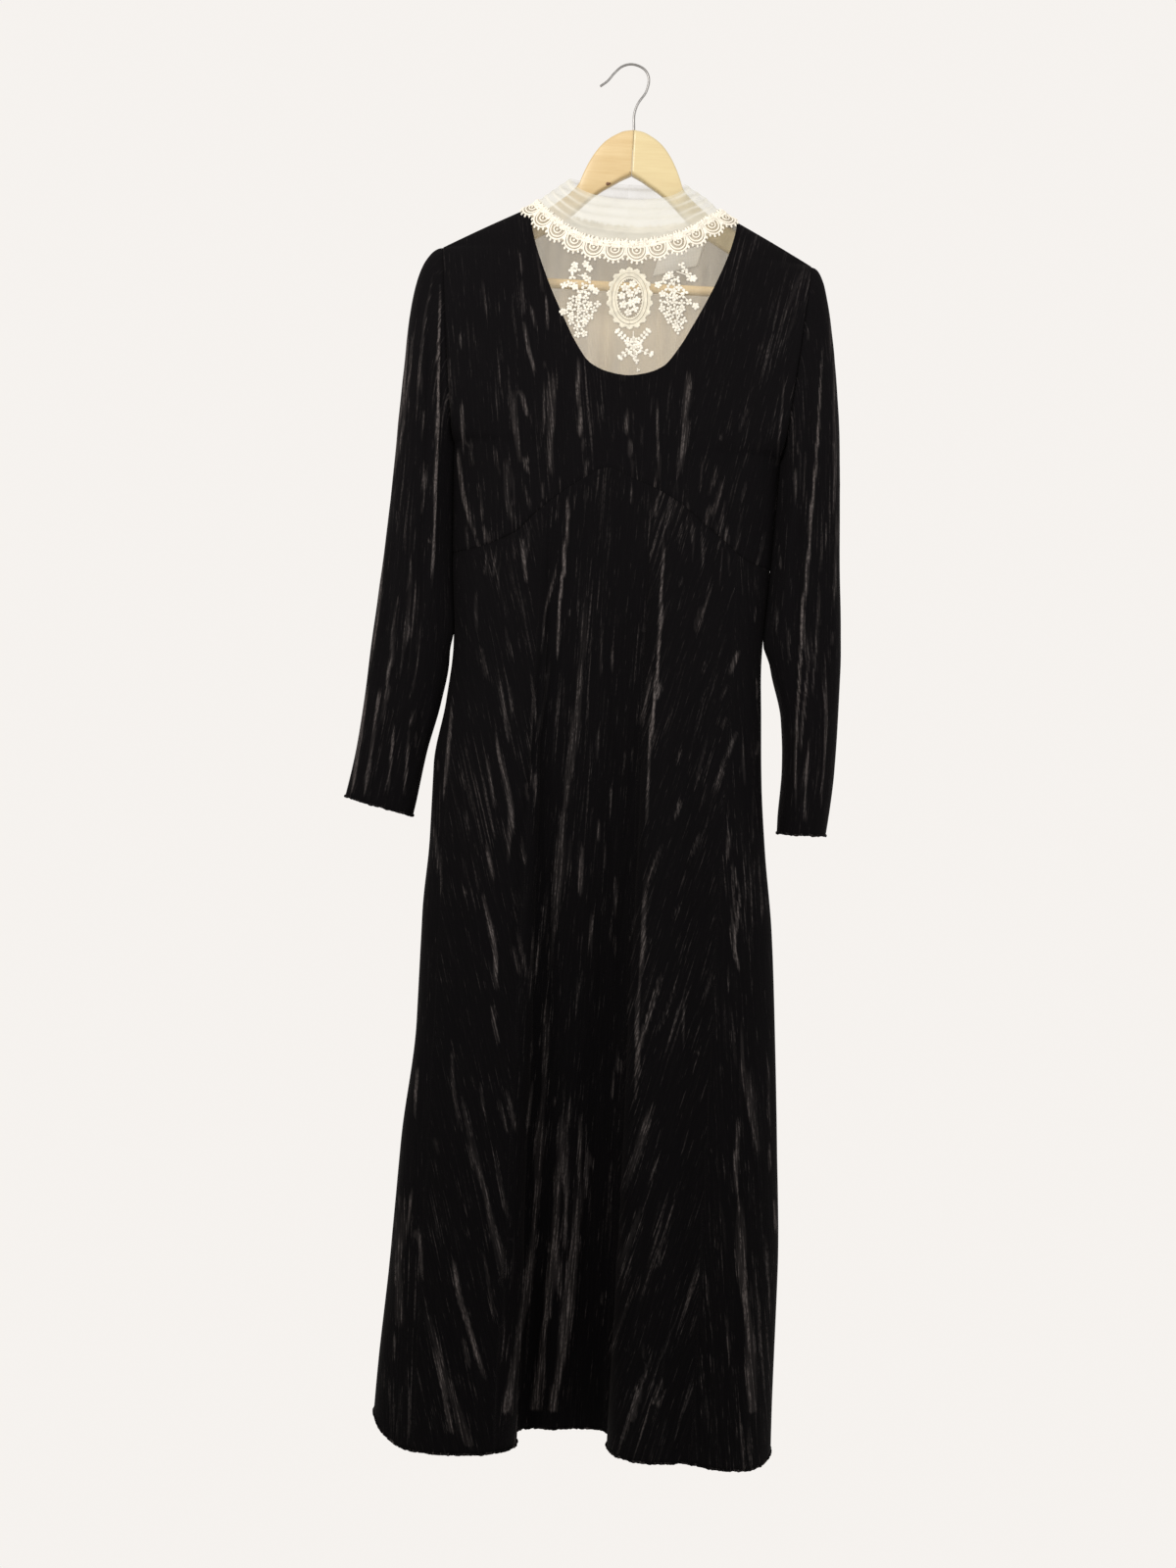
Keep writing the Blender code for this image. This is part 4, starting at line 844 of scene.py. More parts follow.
def sleeve_points(table, side):
    """Points [ring, place] round a sleeve; the first ring follows the armhole."""
    half = SLEEVE_PLACES // 2
    steps = np.array(ARMHOLE_ROWS) / UNDERARM_SHARE
    along_half = eased(np.linspace(0, len(steps) - 1, half + 1), np.arange(len(steps)), steps)
    angle_half = np.linspace(0, math.pi, half + 1)
    along = np.concatenate([along_half, along_half[1:-1][::-1]])
    angles = np.concatenate([angle_half, angle_half[1:-1][::-1]])
    faces = np.array([-1.0] * (half + 1) + [1.0] * (half - 1))
    armhole = armhole_depth(SHOULDER_END - along * (SHOULDER_END - UNDERARM)) / ARMHOLE_DEPTH
    armhole[[0, half]] = 0
    numbers = np.linspace(0, 1, SLEEVE_RINGS) ** 1.25 * (len(table) - 1)
    sizes = [eased(numbers, np.arange(len(table)), column(table, k)) for k in range(5)]
    outer_x, outer_z, inner_x, inner_z, depth = (size[:, None] for size in sizes)
    outer_x = np.where(numbers[:, None] == 0, SHOULDER_HALF, outer_x)
    blend = np.minimum(1, numbers / SLEEVE_BLEND)[:, None]
    place = along * (1 - blend) + (1 - np.cos(angles)) / 2 * blend
    swell = armhole * (1 - blend) + np.sin(angles) ** 0.9 * blend
    x = outer_x + (inner_x - outer_x) * place
    y = faces * depth * swell
    z = outer_z + (inner_z - outer_z) * place
    # The inner side leans over the body as far down as the sleeve hangs beside it
    window = np.clip((UNDERARM - z) / 8, 0, 1) * np.clip((z - SLEEVE_FREE) / 26, 0, 1)
    lean = SLEEVE_LEAN * (1 + 0.7 * np.clip((-605 - z) / 35, 0, 1))
    x = x - lean * place**4 * window * np.exp(-(((y + 13) / 9) ** 2))
    x = x - UNDERARM_LAP * place**12 * np.exp(-(((z - UNDERARM) / 7) ** 2))
    return np.stack([side * x, y, z], -1), angles, faces, place


def ring_normals(rings):
    looped = np.concatenate([rings[:, -1:], rings, rings[:, :1]], axis=1)
    normals = unit(np.cross(unit(np.gradient(looped, axis=0)), unit(np.gradient(looped, axis=1))))[:, 1:-1]
    middle = rings.mean(axis=1, keepdims=True)
    return normals * np.sign((normals * (rings - middle)).sum(-1).mean())


def yoke_points(share, face, rows):
    x, z = top_edge(share)
    up_x = NECK_HALF * np.sin(np.linspace(-math.pi / 2, math.pi / 2, len(share)))
    up_z = neck_seam_height(up_x, face)
    x = up_x + (x - up_x) * rows[:, None]
    z = up_z + (z - up_z) * rows[:, None]
    for side in (0, -1):
        z[:, side] = shoulder_height(x[:, side])
    points = body_point(x, z, face)
    points[:, [0, -1], 1] = 0
    return points


# Heights over which the nets' painted shade, darkest high up, fades to their paler colour low down
NET_SHADE_FADE = (-0.235, -0.29)
# Small dark dents in the left half of the hanger: place in metres, size
WOOD_MARKS = (
    ((0.0035, -0.0078, -0.1215), 0.0010),
    ((-0.0205, -0.0066, -0.1350), 0.0016),
    ((-0.0180, -0.0064, -0.1345), 0.0011),
)


class Shader:
    """A material's nodes, with short calls for the ones used here."""

    def __init__(self, name, **settings):
        self.material = bpy.data.materials.new(name)
        self.material.use_nodes = True
        self.tree = self.material.node_tree
        self.face = self.tree.nodes["Principled BSDF"]
        for word, value in settings.items():
            self.face.inputs[word.replace("_", " ")].default_value = value

    def join(self, value, socket):
        if isinstance(value, bpy.types.NodeSocket):
            self.tree.links.new(value, socket)
        else:
            socket.default_value = value

    def node(self, kind, inputs, output=0, **options):
        made = self.tree.nodes.new(kind)
        for word, value in options.items():
            setattr(made, word, value)
        for word, value in inputs.items():
            self.join(value, made.inputs[word])
        return made.outputs[output]

    def mark(self, name, output="Fac"):
        return self.node("ShaderNodeAttribute", {}, output, attribute_name=name)

    def place(self):
        return self.node("ShaderNodeTexCoord", {}, "Object")

    def scaled(self, vector, scale):
        return self.node("ShaderNodeMapping", {"Vector": vector, "Scale": scale}, "Vector")

    def noise(self, vector, scale, detail=2.0, rough=0.5):
        values = {"Vector": self.scaled(vector, scale), "Scale": 1.0, "Detail": detail, "Roughness": rough}
        return self.node("ShaderNodeTexNoise", values, "Fac")

    def between(self, value, low, high, out_low=0.0, out_high=1.0):
        values = {"Value": value, "From Min": low, "From Max": high, "To Min": out_low, "To Max": out_high}
        return self.node("ShaderNodeMapRange", values, "Result")

    def plus(self, total, *values, kind="ADD", clamp=False):
        for value in values:
            total = self.node("ShaderNodeMath", {0: total, 1: value}, operation=kind)
        total.node.use_clamp = clamp
        return total

    def times(self, *values):
        return self.plus(*values, kind="MULTIPLY")

    def mixed(self, share, a, b):
        a, b = ((*v, 1) if isinstance(v, tuple) else v for v in (a, b))
        return self.node("ShaderNodeMix", {0: share, 6: a, 7: b}, 2, data_type="RGBA")

    def bump(self, height, strength, distance):
        values = {"Height": height, "Strength": strength, "Distance": distance}
        self.set("Normal", self.node("ShaderNodeBump", values, "Normal"))

    def set(self, word, value):
        self.join(value, self.face.inputs[word])


def make_velvet():
    """Black crushed velvet: dark pile, with brownish grey painted sheen where the pile is crushed."""
    s = Shader(
        "velvet", Specular_IOR_Level=0.04, Sheen_Weight=0.012, Sheen_Roughness=0.4,
        Sheen_Tint=(0.72, 0.60, 0.56, 1),
    )
    grain = s.mark("grain", "Vector")
    nap = s.mark("nap")
    # The crush marks are real; their brownish grey is painted sheen, placed by nap and by noise
    lines = s.between(s.noise(grain, (430, 20, 3), 3, 0.6), 0.44, 0.60)
    grit = s.between(s.noise(grain, (640, 230, 3), 3, 0.65), 0.36, 0.62, 0.12, 1.0)
    hairs = s.between(s.noise(grain, (350, 9, 3), 3, 0.6), 0.56, 0.66)
    patches = s.between(s.noise(grain, (30, 5.0, 2), 2), 0.53, 0.68)
    ragged = s.plus(nap, s.between(s.noise(grain, (560, 24, 3), 3, 0.62), 0.3, 0.7, -0.62, 0.62))
    broken = s.times(s.between(ragged, 0.36, 0.72), grit)
    marked = s.times(s.between(nap, 0.0, 1.0, 0.25, 1.0), broken)
    strewn = s.times(hairs, patches, grit, 0.42)
    faint = s.times(lines, grit, 0.008)
    even = s.between(s.noise(grain, (900, 16, 3), 3, 0.6), 0.3, 0.7, 0.03, 0.17)
    soft = s.times(s.between(nap, 0.16, 0.42), even)
    # lit: how much painted sheen each place shows
    lit = s.plus(marked, strewn, faint, soft, clamp=True)
    tone = s.noise(grain, (30, 12, 2), 1)
    # Painted light and shade: the dark pile is painted lighter high on the dress, darker low down
    height = s.node("ShaderNodeSeparateXYZ", {"Vector": s.place()}, "Z")
    high = s.between(height, -1.4, -0.3)
    dark = s.mixed(high, (0.0010, 0.0008, 0.0010), (0.0030, 0.0026, 0.0030))
    # light: the colour of the painted sheen, with tones that differ at random
    light = s.mixed(tone, (0.083, 0.068, 0.063), (0.100, 0.089, 0.086))
    s.set("Base Color", s.mixed(lit, dark, light))
    s.set("Roughness", s.between(lit, 0, 1, 0.92, 0.62))
    s.bump(s.plus(lines, s.times(nap, 0.6)), 0.3, 0.0006)
    return s.material


def make_net(name, colour, low_colour, clear, solid):
    """Even net: fine threads round open cells, see-through; painted shade high up and in faint streaks."""
    s = Shader(name, Roughness=0.8, Specular_IOR_Level=0.2)
    grain = s.mark("grain", "Vector")
    values = {"Vector": s.scaled(grain, (620, 620, 1)), "Scale": 1.0, "Randomness": 0.25}
    cells = s.node("ShaderNodeTexVoronoi", values, "Distance", feature="DISTANCE_TO_EDGE")
    threads = s.between(cells, 0.10, 0.24, 1.0, 0.0)
    streaks = s.noise(grain, (70, 5, 1), 2)
    cover = s.between(threads, 0, 1, clear, solid)
    s.set("Alpha", s.plus(cover, s.between(streaks, 0.35, 0.65, -0.04, 0.05), clamp=True))
    shade = s.between(streaks, 0.3, 0.7)
    # Painted shade: the net is darker high up, paler low down
    height = s.node("ShaderNodeSeparateXYZ", {"Vector": grain}, "Y")
    tint = s.mixed(s.between(height, *NET_SHADE_FADE, 0.0, 1.0), colour, low_colour)
    s.set("Base Color", s.mixed(s.between(shade, 0, 1, 0.16, 0), tint, (0.1, 0.09, 0.07)))
    s.bump(threads, 0.3, 0.0003)
    return s.material


def make_chiffon():
    """Ivory chiffon, closer where it lies in tucks."""
    s = Shader("chiffon", Roughness=0.7, Specular_IOR_Level=0.25, Sheen_Weight=0.1)
    grain = s.mark("grain", "Vector")
    nap = s.mark("nap")
    weave = s.times(s.noise(grain, (1400, 260, 1), 1), s.noise(grain, (260, 1400, 1), 1))
    clouds = s.noise(grain, (40, 70, 1), 2)
    cover = s.between(nap, -0.5, 1, 0.06, 0.88)
    s.set("Alpha", s.plus(cover, s.between(clouds, 0.3, 0.7, -0.06, 0.08), clamp=True))
    s.set("Base Color", s.mixed(nap, (0.56, 0.545, 0.46), (0.625, 0.605, 0.54)))
    s.bump(weave, 0.25, 0.0003)
    return s.material


def make_lace(name, colour, bumpy=0.35):
    """Matt ivory thread, closely wound."""
    s = Shader(name, Roughness=0.75, Specular_IOR_Level=0.25, Sheen_Weight=0.15)
    place = s.place()
    wound = s.noise(place, (1500, 1500, 1500), 2)
    tone = s.noise(place, (160, 160, 160), 2)
    s.set("Base Color", s.mixed(s.between(tone, 0.35, 0.65), tuple(0.82 * v for v in colour), colour))
    s.set("Roughness", s.between(wound, 0.3, 0.7, 0.65, 0.85))
    s.bump(wound, bumpy, 0.0004)
    return s.material


def make_label():
    s = Shader("label", Roughness=0.5, Specular_IOR_Level=0.4)
    values = {"Vector": s.mark("grain", "Vector"), "Scale": 260.0, "Distortion": 0.4, "Detail": 1.0}
    ribs = s.node("ShaderNodeTexWave", values, "Fac", bands_direction="Y")
    s.set("Base Color", s.mixed(ribs, (0.88, 0.87, 0.82), (0.96, 0.95, 0.91)))
    s.bump(ribs, 0.3, 0.0003)
    return s.material


def make_wood(name, pale, dark, dents=()):
    """Lacquered wood with its grain along the arm."""
    s = Shader(name, Roughness=0.35, Coat_Weight=0.35, Coat_Roughness=0.2)
    place = s.place()
    grain = s.noise(place, (26, 420, 420), 3, 0.6)
    bands = s.noise(place, (9, 120, 120), 2)
    share = s.plus(s.between(grain, 0.35, 0.68, 0, 0.6), s.between(bands, 0.4, 0.6, 0, 0.4))
    tint = s.mixed(share, pale, dark)
    for spot, reach in dents:
        away = s.node("ShaderNodeVectorMath", {0: place, 1: spot}, "Value", operation="DISTANCE")
        ragged = s.plus(away, s.between(bands, 0.3, 0.7, -0.0008, 0.0008))
        tint = s.mixed(s.between(ragged, reach, 1.6 * reach), (0.13, 0.055, 0.02), tint)
    s.set("Base Color", tint)
    s.set("Roughness", s.between(grain, 0.3, 0.7, 0.32, 0.48))
    s.bump(grain, 0.12, 0.0003)
    return s.material


def make_steel():
    s = Shader("steel", Metallic=1.0, Roughness=0.34)
    drawn = s.noise(s.place(), (900, 900, 60), 2)
    s.set("Base Color", s.mixed(drawn, (0.16, 0.155, 0.15), (0.34, 0.33, 0.32)))
    s.set("Roughness", s.between(drawn, 0.3, 0.7, 0.22, 0.4))
    return s.material


VELVET = make_velvet()
# The yoke nets are painted darker than ivory net, as painted shade from inside the dress; the back net is
# also closer, painted shade for the shaded inside seen through the front net
SHADED_NET = make_net("net", (0.47, 0.415, 0.315), (0.68, 0.58, 0.42), 0.16, 0.36)
SHADED_BACK_NET = make_net("back_net", (0.41, 0.355, 0.27), (0.72, 0.61, 0.45), 0.70, 0.88)
LACE_NET = make_net("lace_net", (0.68, 0.61, 0.48), (0.68, 0.61, 0.48), 0.32, 0.56)
CHIFFON = make_chiffon()
LACE = make_lace("lace", (0.82, 0.765, 0.66))
WORK = make_lace("embroidery", (0.69, 0.645, 0.53), 0.5)
PETALS = make_lace("petals", (0.79, 0.75, 0.655), 0.5)
LABEL = make_label()
# The arms are one wood in lit and shaded copies: the left is painted darker and more orange as painted
# shade, the right paler as painted light
SHADED_LEFT_WOOD = make_wood("wood_left", (0.545, 0.41, 0.21), (0.48, 0.34, 0.155), WOOD_MARKS)
LIT_RIGHT_WOOD = make_wood("wood_right", (0.575, 0.475, 0.26), (0.53, 0.42, 0.22))
# The bar is painted far paler than the arms' wood: painted light on it inside the dress
LIT_BAR_WOOD = make_wood("wood_bar", (0.96, 0.74, 0.42), (0.90, 0.64, 0.32))
STEEL = make_steel()

# Columns of the front and the back from corner to corner, and rows of the bodice above and below
# the underarm
FRONT_COLUMNS = (48, 88, 48)
BACK_COLUMNS = (34, 36, 36, 34)
FRONT = Folds(FRONT_FOLDS, FRONT_CORNERS, FRONT_COLUMNS)
BACK = Folds(BACK_FOLDS, BACK_CORNERS, BACK_COLUMNS)
HIGH_ROWS = 62
LOW_ROWS = 38
BODICE_ROWS = np.concatenate([
    UNDERARM_SHARE * np.linspace(0, 1, HIGH_ROWS + 1) ** 1.7,
    np.linspace(UNDERARM_SHARE, 1, LOW_ROWS + 1)[1:],
])
SKIRT_ROWS = np.linspace(0, 1, 216) ** 1.15
YOKE_ROWS = np.linspace(0, 1, 40)
# Rings along a sleeve, places round it, and the radius at which its pile's marks are spread
SLEEVE_RINGS = 190
SLEEVE_PLACES = 96
SLEEVE_ROUND = 38

# The panels: part, face, creases; seed, number, box, lean and longest of the strewn marks;
# gathers at the seam (from, to, pitch) and the longest of them
BODICE_BOX = (-190, 190, -520, -200)
SKIRT_BOX = (-215, 222, -1500, -560)
PANELS = (
    (
        "bodice", -1, BODICE_CREASES, (3, 150, BODICE_BOX, lambda x, z: zone_lean(BODICE_LEAN, x, z), 60),
        ((-142, -66, 5.2), (66, 138, 5), (-60, 60, 13)), 34,
    ),
    (
        "bodice", 1, BACK_BODICE_CREASES, (5, 150, BODICE_BOX, lambda x, z: -0.001 * x, 60),
        ((-120, -30, 6.5), (30, 120, 6.5)), 26,
    ),
    (
        "skirt", -1, SKIRT_CREASES, (7, 300, SKIRT_BOX, lambda x, z: zone_lean(SKIRT_LEAN, x, z), 110),
        ((-140, -60, 6), (62, 136, 6.2), (-52, 56, 9)), 52,
    ),
    (
        "skirt", 1, BACK_SKIRT_CREASES,
        (9, 420, SKIRT_BOX, lambda x, z: 0.0006 * x * np.clip(-z / 1400, 0, 1), 110),
        ((-130, -20, 7), (20, 130, 7)), 46,
    ),
)


def viewed(points, face):
    """Where creases are read on a panel: as the camera sees the front, and straight on behind."""
    return seen(points) if face < 0 else (points[..., 0], points[..., 2])


def halves_at(middle):
    """The two halves of the back, which share its middle column."""
    return ("left", slice(None, middle + 1)), ("right", slice(middle, None))


# Bodice and skirt
chance = np.random.default_rng(11)
last_rows = {}
for part, face, creases, strewn, starts, longest in PANELS:
    folds = FRONT if face < 0 else BACK
    share = folds.share
    upper = part == "bodice"
    if upper:
        points = bodice_points(share, face, BODICE_ROWS)
        facing = bodice_normals(points, share, face, HIGH_ROWS)
        seam_away = points[..., 2] - points[-1:, :, 2]
    else:
        points = skirt_points(folds, face, SKIRT_ROWS)
        facing = skirt_normals(points, share, face)
        seam_away = points[:1, :, 2] - points[..., 2]
    creases += scattered(*strewn) + gathers(chance, starts, face, upper, longest)
    # nap: the strength of the painted sheen of the brushed-up pile
    height, nap = relief(creases, *viewed(points, face))
    still_edges = np.clip((1 - np.abs(share)) / 0.04, 0, 1) ** 0.7
    height = height * still_edges * np.clip(seam_away / 4, 0, 1)
    height += SIDE_DIP * beside_seam((1 - np.abs(share)) * SEAM_HALF)
    height += beside_seam(seam_away)
    points = points + height[..., None] * facing
    halves = [("front", slice(None))]
    if face > 0:
        points += (beside_seam(np.abs(share) * SEAM_HALF) * MIDDLE_DIP)[None, :, None] * facing
        halves = [(f"back_{word}", chosen) for word, chosen in halves_at(sum(BACK_COLUMNS[:2]))]
    grain = grain_of(*viewed(points, face), GRAIN_ZONES[part if face < 0 else "back"])
    for word, chosen in halves:
        node = f"{part}_{word}"
        add_cloth(
            f"{node}_cloth", node, points[:, chosen], facing[:, chosen], VELVET,
            grain=grain[:, chosen], nap=nap[:, chosen],
        )
        last_rows[node] = points[-1, chosen]

# Sleeves
for word, side, table, creases, seed in (
    ("left", -1, LEFT_SLEEVE, LEFT_SLEEVE_CREASES, 21),
    ("right", 1, RIGHT_SLEEVE, RIGHT_SLEEVE_CREASES, 22),
):
    rings, angles, faces, place = sleeve_points(table, side)
    facing = ring_normals(rings)
    square = armhole_frame(side)
    facing[0] = unit(facing[0] - (facing[0] @ square)[:, None] * square)
    x, z = seen(rings)
    box = (side * 190 - 5, side * 262 + 5, -800, -250)
    seeds = (seed, seed + 5)
    strewn, back_strewn = (scattered(start, 110, box, lambda x, z: side * 0.04, 70) for start in seeds)
    behind = tuple(
        row[:3] + tuple(side * v if k % 2 == 0 else v for k, v in enumerate(row[3:]))
        for row in BACK_SLEEVE_CREASES
    )
    # nap: the strength of the painted sheen of the brushed-up pile
    marks = zip(relief(creases + strewn, x, z), relief(behind + back_strewn, rings[..., 0], rings[..., 2]))
    height, nap = (np.where(faces < 0, front, back) for front, back in marks)
    away = np.linalg.norm(rings - rings[:1], axis=-1)
    height = height * np.sin(angles) ** 0.6 * np.clip(away / 12, 0, 1) + beside_seam(away) * (1 - place**8)
    rings = rings + height[..., None] * facing
    grain = grain_at(angles * faces * SLEEVE_ROUND + 0 * x, -z)
    node = f"sleeve_{word}"
    add_cloth(f"{node}_cloth", node, rings, facing, VELVET, ring=True, grain=grain, nap=nap)
    last_rows[node] = np.concatenate([rings[-1], rings[-1][:1]])


def rolled(name, line, seed, radius=1.5, closed=False):
    """A finely crinkled rolled edge along a line."""
    random = np.random.default_rng(seed)
    walked = walk(line)
    count = int(walked[-1] / 1.9)
    spots = np.linspace(0, walked[-1], count)
    path = np.stack([np.interp(spots, walked, line[:, k]) for k in range(3)], -1)
    crinkle = random.normal(0, 1, (count, 3))
    crinkle = (crinkle[:-2] + 2 * crinkle[1:-1] + crinkle[2:]) / 4
    path[1:-1] += crinkle * (0.25, 0.45, 0.55)
    wave = 0.22 * np.sin(spots * 1.9) * np.sin(spots * 0.37 + 1)
    sizes = radius * (1 + wave + 0.1 * random.normal(0, 1, count))
    if closed:
        path[-1] = path[0]
        sizes[-1] = sizes[0]
    heap = Heap()
    heap.thread(path, np.clip(sizes, 0.8, 2.4), 8)
    values = heap.parts[0]
    # Painted sheen along the rolled edge, in soft waves
    nap = 0.16 + 0.14 * np.sin(values[:, 0] / 3.1) * np.sin(values[:, 0] / 11)
    heap.build(name, None, VELVET, marks={"grain": values * MM, "nap": np.clip(nap, 0, 1)})


# Rolled hems and cuffs
for seed, word, inward in ((31, "front", 0.5), (32, "back_left", -0.5), (33, "back_right", -0.5)):
    rolled(f"hem_{word}", last_rows[f"skirt_{word}"] + (0, inward, 0.6), seed)
for seed, word in ((34, "left"), (35, "right")):
    rolled(f"cuff_{word}", last_rows[f"sleeve_{word}"] + (0, 0, 0.5), seed, 1.4, True)

# Net yoke
points = yoke_points(FRONT.share[FRONT_COLUMNS[0] : -FRONT_COLUMNS[-1]], -1, YOKE_ROWS)
facing = body_normal(points[..., 0], points[..., 2], -1)
ripple = 0.5 * np.sin(points[..., 0] / 9 + 1) * np.sin((points[..., 2] + 160) / 60)
points = points + (ripple * np.clip((points[..., 2] - points[-1:, :, 2]) / 30, 0, 1))[..., None] * facing
points[:, [0, -1], 1] = 0
grain = grain_at(points[..., 0], points[..., 2])
add_cloth("yoke_front_net", "yoke_front", points, facing, SHADED_NET, 0, grain=grain)
points = yoke_points(BACK.share[BACK_COLUMNS[0] : -BACK_COLUMNS[-1]], 1, YOKE_ROWS)
facing = body_normal(points[..., 0], points[..., 2], 1)
grain = grain_at(points[..., 0], points[..., 2], 1)
for word, chosen in halves_at(BACK_COLUMNS[1]):
    node = f"yoke_back_{word}"
    add_cloth(f"{node}_net", node, points[:, chosen], facing[:, chosen], SHADED_BACK_NET, 0, grain=grain[:, chosen])

# Collar: tucks, a slack that wavers, and how closely the cloth covers; its radius, for its grain,
# is in metres
COLLAR_ROUND = 0.075
up, around = np.linspace(0, 1, 56), np.linspace(-math.pi, math.pi, 221)
shares, angles = np.meshgrid(up, around, indexing="ij")
points = collar_points(angles, shares)
facing = grid_normals(points, ring_hint(angles))
step = (shares * TUCKS) % 1
fold = np.exp(-(((step - 0.5) / 0.16) ** 2))
tuck = np.where(step < 0.66, (step / 0.66) ** 2, (1 - step) / 0.34)
held = np.sin(math.pi * shares)
slack = 1.3 * np.sin(3 * angles + 1.1) * held
slack += 0.7 * np.sin(7 * angles + 5 * shares) * held
slack += 0.35 * np.sin(19 * angles - 7 * shares) * held**0.5
plain = np.exp(-(angles**4))
seamward = 0.45 * np.exp(-((shares / 0.38) ** 2))
close = 0.85 * fold * (1 - 0.9 * plain) + 0.25 * plain + seamward
close = np.where(np.cos(angles) < 0, 0.45 * fold - 0.4, close)
points = points + (COLLAR_RELIEF * tuck * (1 - 0.6 * plain) + slack)[..., None] * facing
grain = np.stack([angles * COLLAR_ROUND, shares * COLLAR_TALL * MM, 0 * shares], -1)
add_cloth("collar_chiffon", "collar", points, facing, CHIFFON, 0, grain=grain, nap=close)

# Lace
fine = np.linspace(-math.pi, math.pi, 4001)
walked = walk(neck_ring(fine))
ROUND_NECK = walked[-1]
PITCH = ROUND_NECK / SCALLOPS


def on_lace(along, down, lift):
    """Points on the dress beside the collar seam, from places along it and distances down."""
    along = np.clip(np.asarray(along, float), 0.01, ROUND_NECK - 0.01)
    down = np.asarray(down, float) + 0 * along
    turns = np.interp(along, walked, fine)
    seam = neck_ring(turns)
    run = SHOULDER_RUN * np.sin(turns)
    drop = -np.abs(np.cos(turns)) - SHOULDER_DROP * np.abs(np.sin(turns))
    length = np.hypot(run, drop)
    x = seam[..., 0] + run / length * down
    z = np.minimum(seam[..., 2] + drop / length * down, shoulder_height(x) + 0.2)
    y = np.where(np.cos(turns) > 0, body_depth(x, z, -1), body_depth(x, z, 1))
    high = collar_points(turns, np.clip(-down / COLLAR_TALL, 0, 1))
    points = np.where((down < 0)[..., None], high, np.stack([x, y, z], -1))
    near_ridge = np.exp(-((np.cos(turns) / 0.28) ** 2))
    out = unit(ring_hint(turns) + (0, 0, 0.2) * near_ridge[..., None])
    return points + (lift + 1.2 * near_ridge)[..., None] * out, out


def lace_thread(heap, along, down, lift, radius):
    heap.thread(on_lace(along, down, lift)[0], radius)


def lace_bead(heap, along, down, lift, way, sizes, sides=8):
    spot, out = on_lace(np.array([along]), np.array([down]), lift)
    heap.bead(spot[0], out[0], np.array(way), sizes, sides)


# Its ground: steps round the neck, rows, its top edge, and how deep its lower edge is between
# the scallops and how much deeper within them
LACE_STEPS = 12 * SCALLOPS + 1
LACE_ROWS = 10
LACE_TOP = -4
LACE_DEPTHS = (12.0, 5.5)
along = np.linspace(0, ROUND_NECK, LACE_STEPS)[:, None] + np.zeros(LACE_ROWS)
phase = np.linspace(0, SCALLOPS, LACE_STEPS) % 1
edge_down = LACE_DEPTHS[0] + LACE_DEPTHS[1] * np.sin(math.pi * phase) ** 0.7
down = LACE_TOP + (edge_down[:, None] - LACE_TOP) * np.linspace(0, 1, LACE_ROWS)
points, facing = on_lace(along, down, 0.7)
add_cloth("lace_ground", "lace_trim", points, facing, LACE_NET, 0, grain=grain_at(along, down))

# Each scallop: two arcs of thread (half-width in scallops, depth, thickness), a loop, three beads
# (along, down, size) in it and small knots on its edge
ARC_STEPS = 19
ARC_TOP = 1.5
ARCS = ((0.48, 16.6, 1.15), (0.38, 13.2, 0.95))
LOOP_BEADS = ((0, 5.2, 1.7), (-1.9, 2.6, 1.3), (2.0, 2.4, 1.3))
KNOTS = 7
heap = Heap()
for number in range(SCALLOPS):
    middle = (number + 0.5) * PITCH
    turn = np.linspace(0, math.pi, ARC_STEPS)
    for radius, depth, thread in ARCS:
        down = ARC_TOP + (depth - ARC_TOP) * np.sin(turn) ** 0.8
        lace_thread(heap, middle - radius * PITCH * np.cos(turn), down, 1.3, thread)
    turn = np.linspace(-0.25, 1.3, ARC_STEPS) * math.pi
    lace_thread(heap, middle + 4.3 * np.cos(turn), 4.6 + 4.4 * np.sin(turn), 1.5, 0.85)
    for along, down, size in LOOP_BEADS:
        lace_bead(heap, middle + along, down, 1.7, (1.0, 0, 0.1), (size, size, 1.0))
    for k in range(KNOTS):
        turn = math.pi * (k + 0.9) / (KNOTS + 0.8)
        along = middle - 0.55 * PITCH * math.cos(turn)
        way = (-0.5 * math.cos(turn), 0, -1.0)
        lace_bead(heap, along, 2.0 + 17.2 * math.sin(turn) ** 0.8, 1.2, way, (2.2, 1.45, 1.2))

# Its heading: two cords, rows of knots between them, and threads that stand up on the collar
for down in (-2.2, 0.2):
    along = np.linspace(0.3, ROUND_NECK - 0.3, 420)
    wave = 0.5 * np.sin(along * 1.7 + down) + 0.35 * np.sin(along * 0.61)
    lace_thread(heap, along, down + wave, 1.0, 1.35)
random = np.random.default_rng(41)
for along in np.arange(0.8, ROUND_NECK, 2.1):
    for down in (-3.2, -1.0, 1.4):
        spot = (along + random.uniform(-0.8, 0.8), down + random.uniform(-0.7, 0.7))
        size = random.uniform(1.2, 1.8)
        lace_bead(heap, *spot, 1.7, random.normal(0, 1, 3), (size * 1.15, size, size * 0.8), 6)
rise = np.array([0, 0.4, 0.8, 1.0])
for along in np.arange(1.5, ROUND_NECK, 3.9):
    long = random.uniform(2.5, 5.5)
    base = along + random.uniform(-0.8, 0.8)
    lace_thread(heap, base + random.uniform(-1.3, 1.3) * rise, -3.0 - long * rise, 1.3, (1.5, 1.3, 1.0, 0.4))
heap.build("lace_work", None, LACE)

# Embroidery, in distances right and down from the middle of the oval as the camera sees them
OVAL = (4.7, -269.5)
PETAL_HEIGHT = 1.25
STEM_RADIUS = 0.55

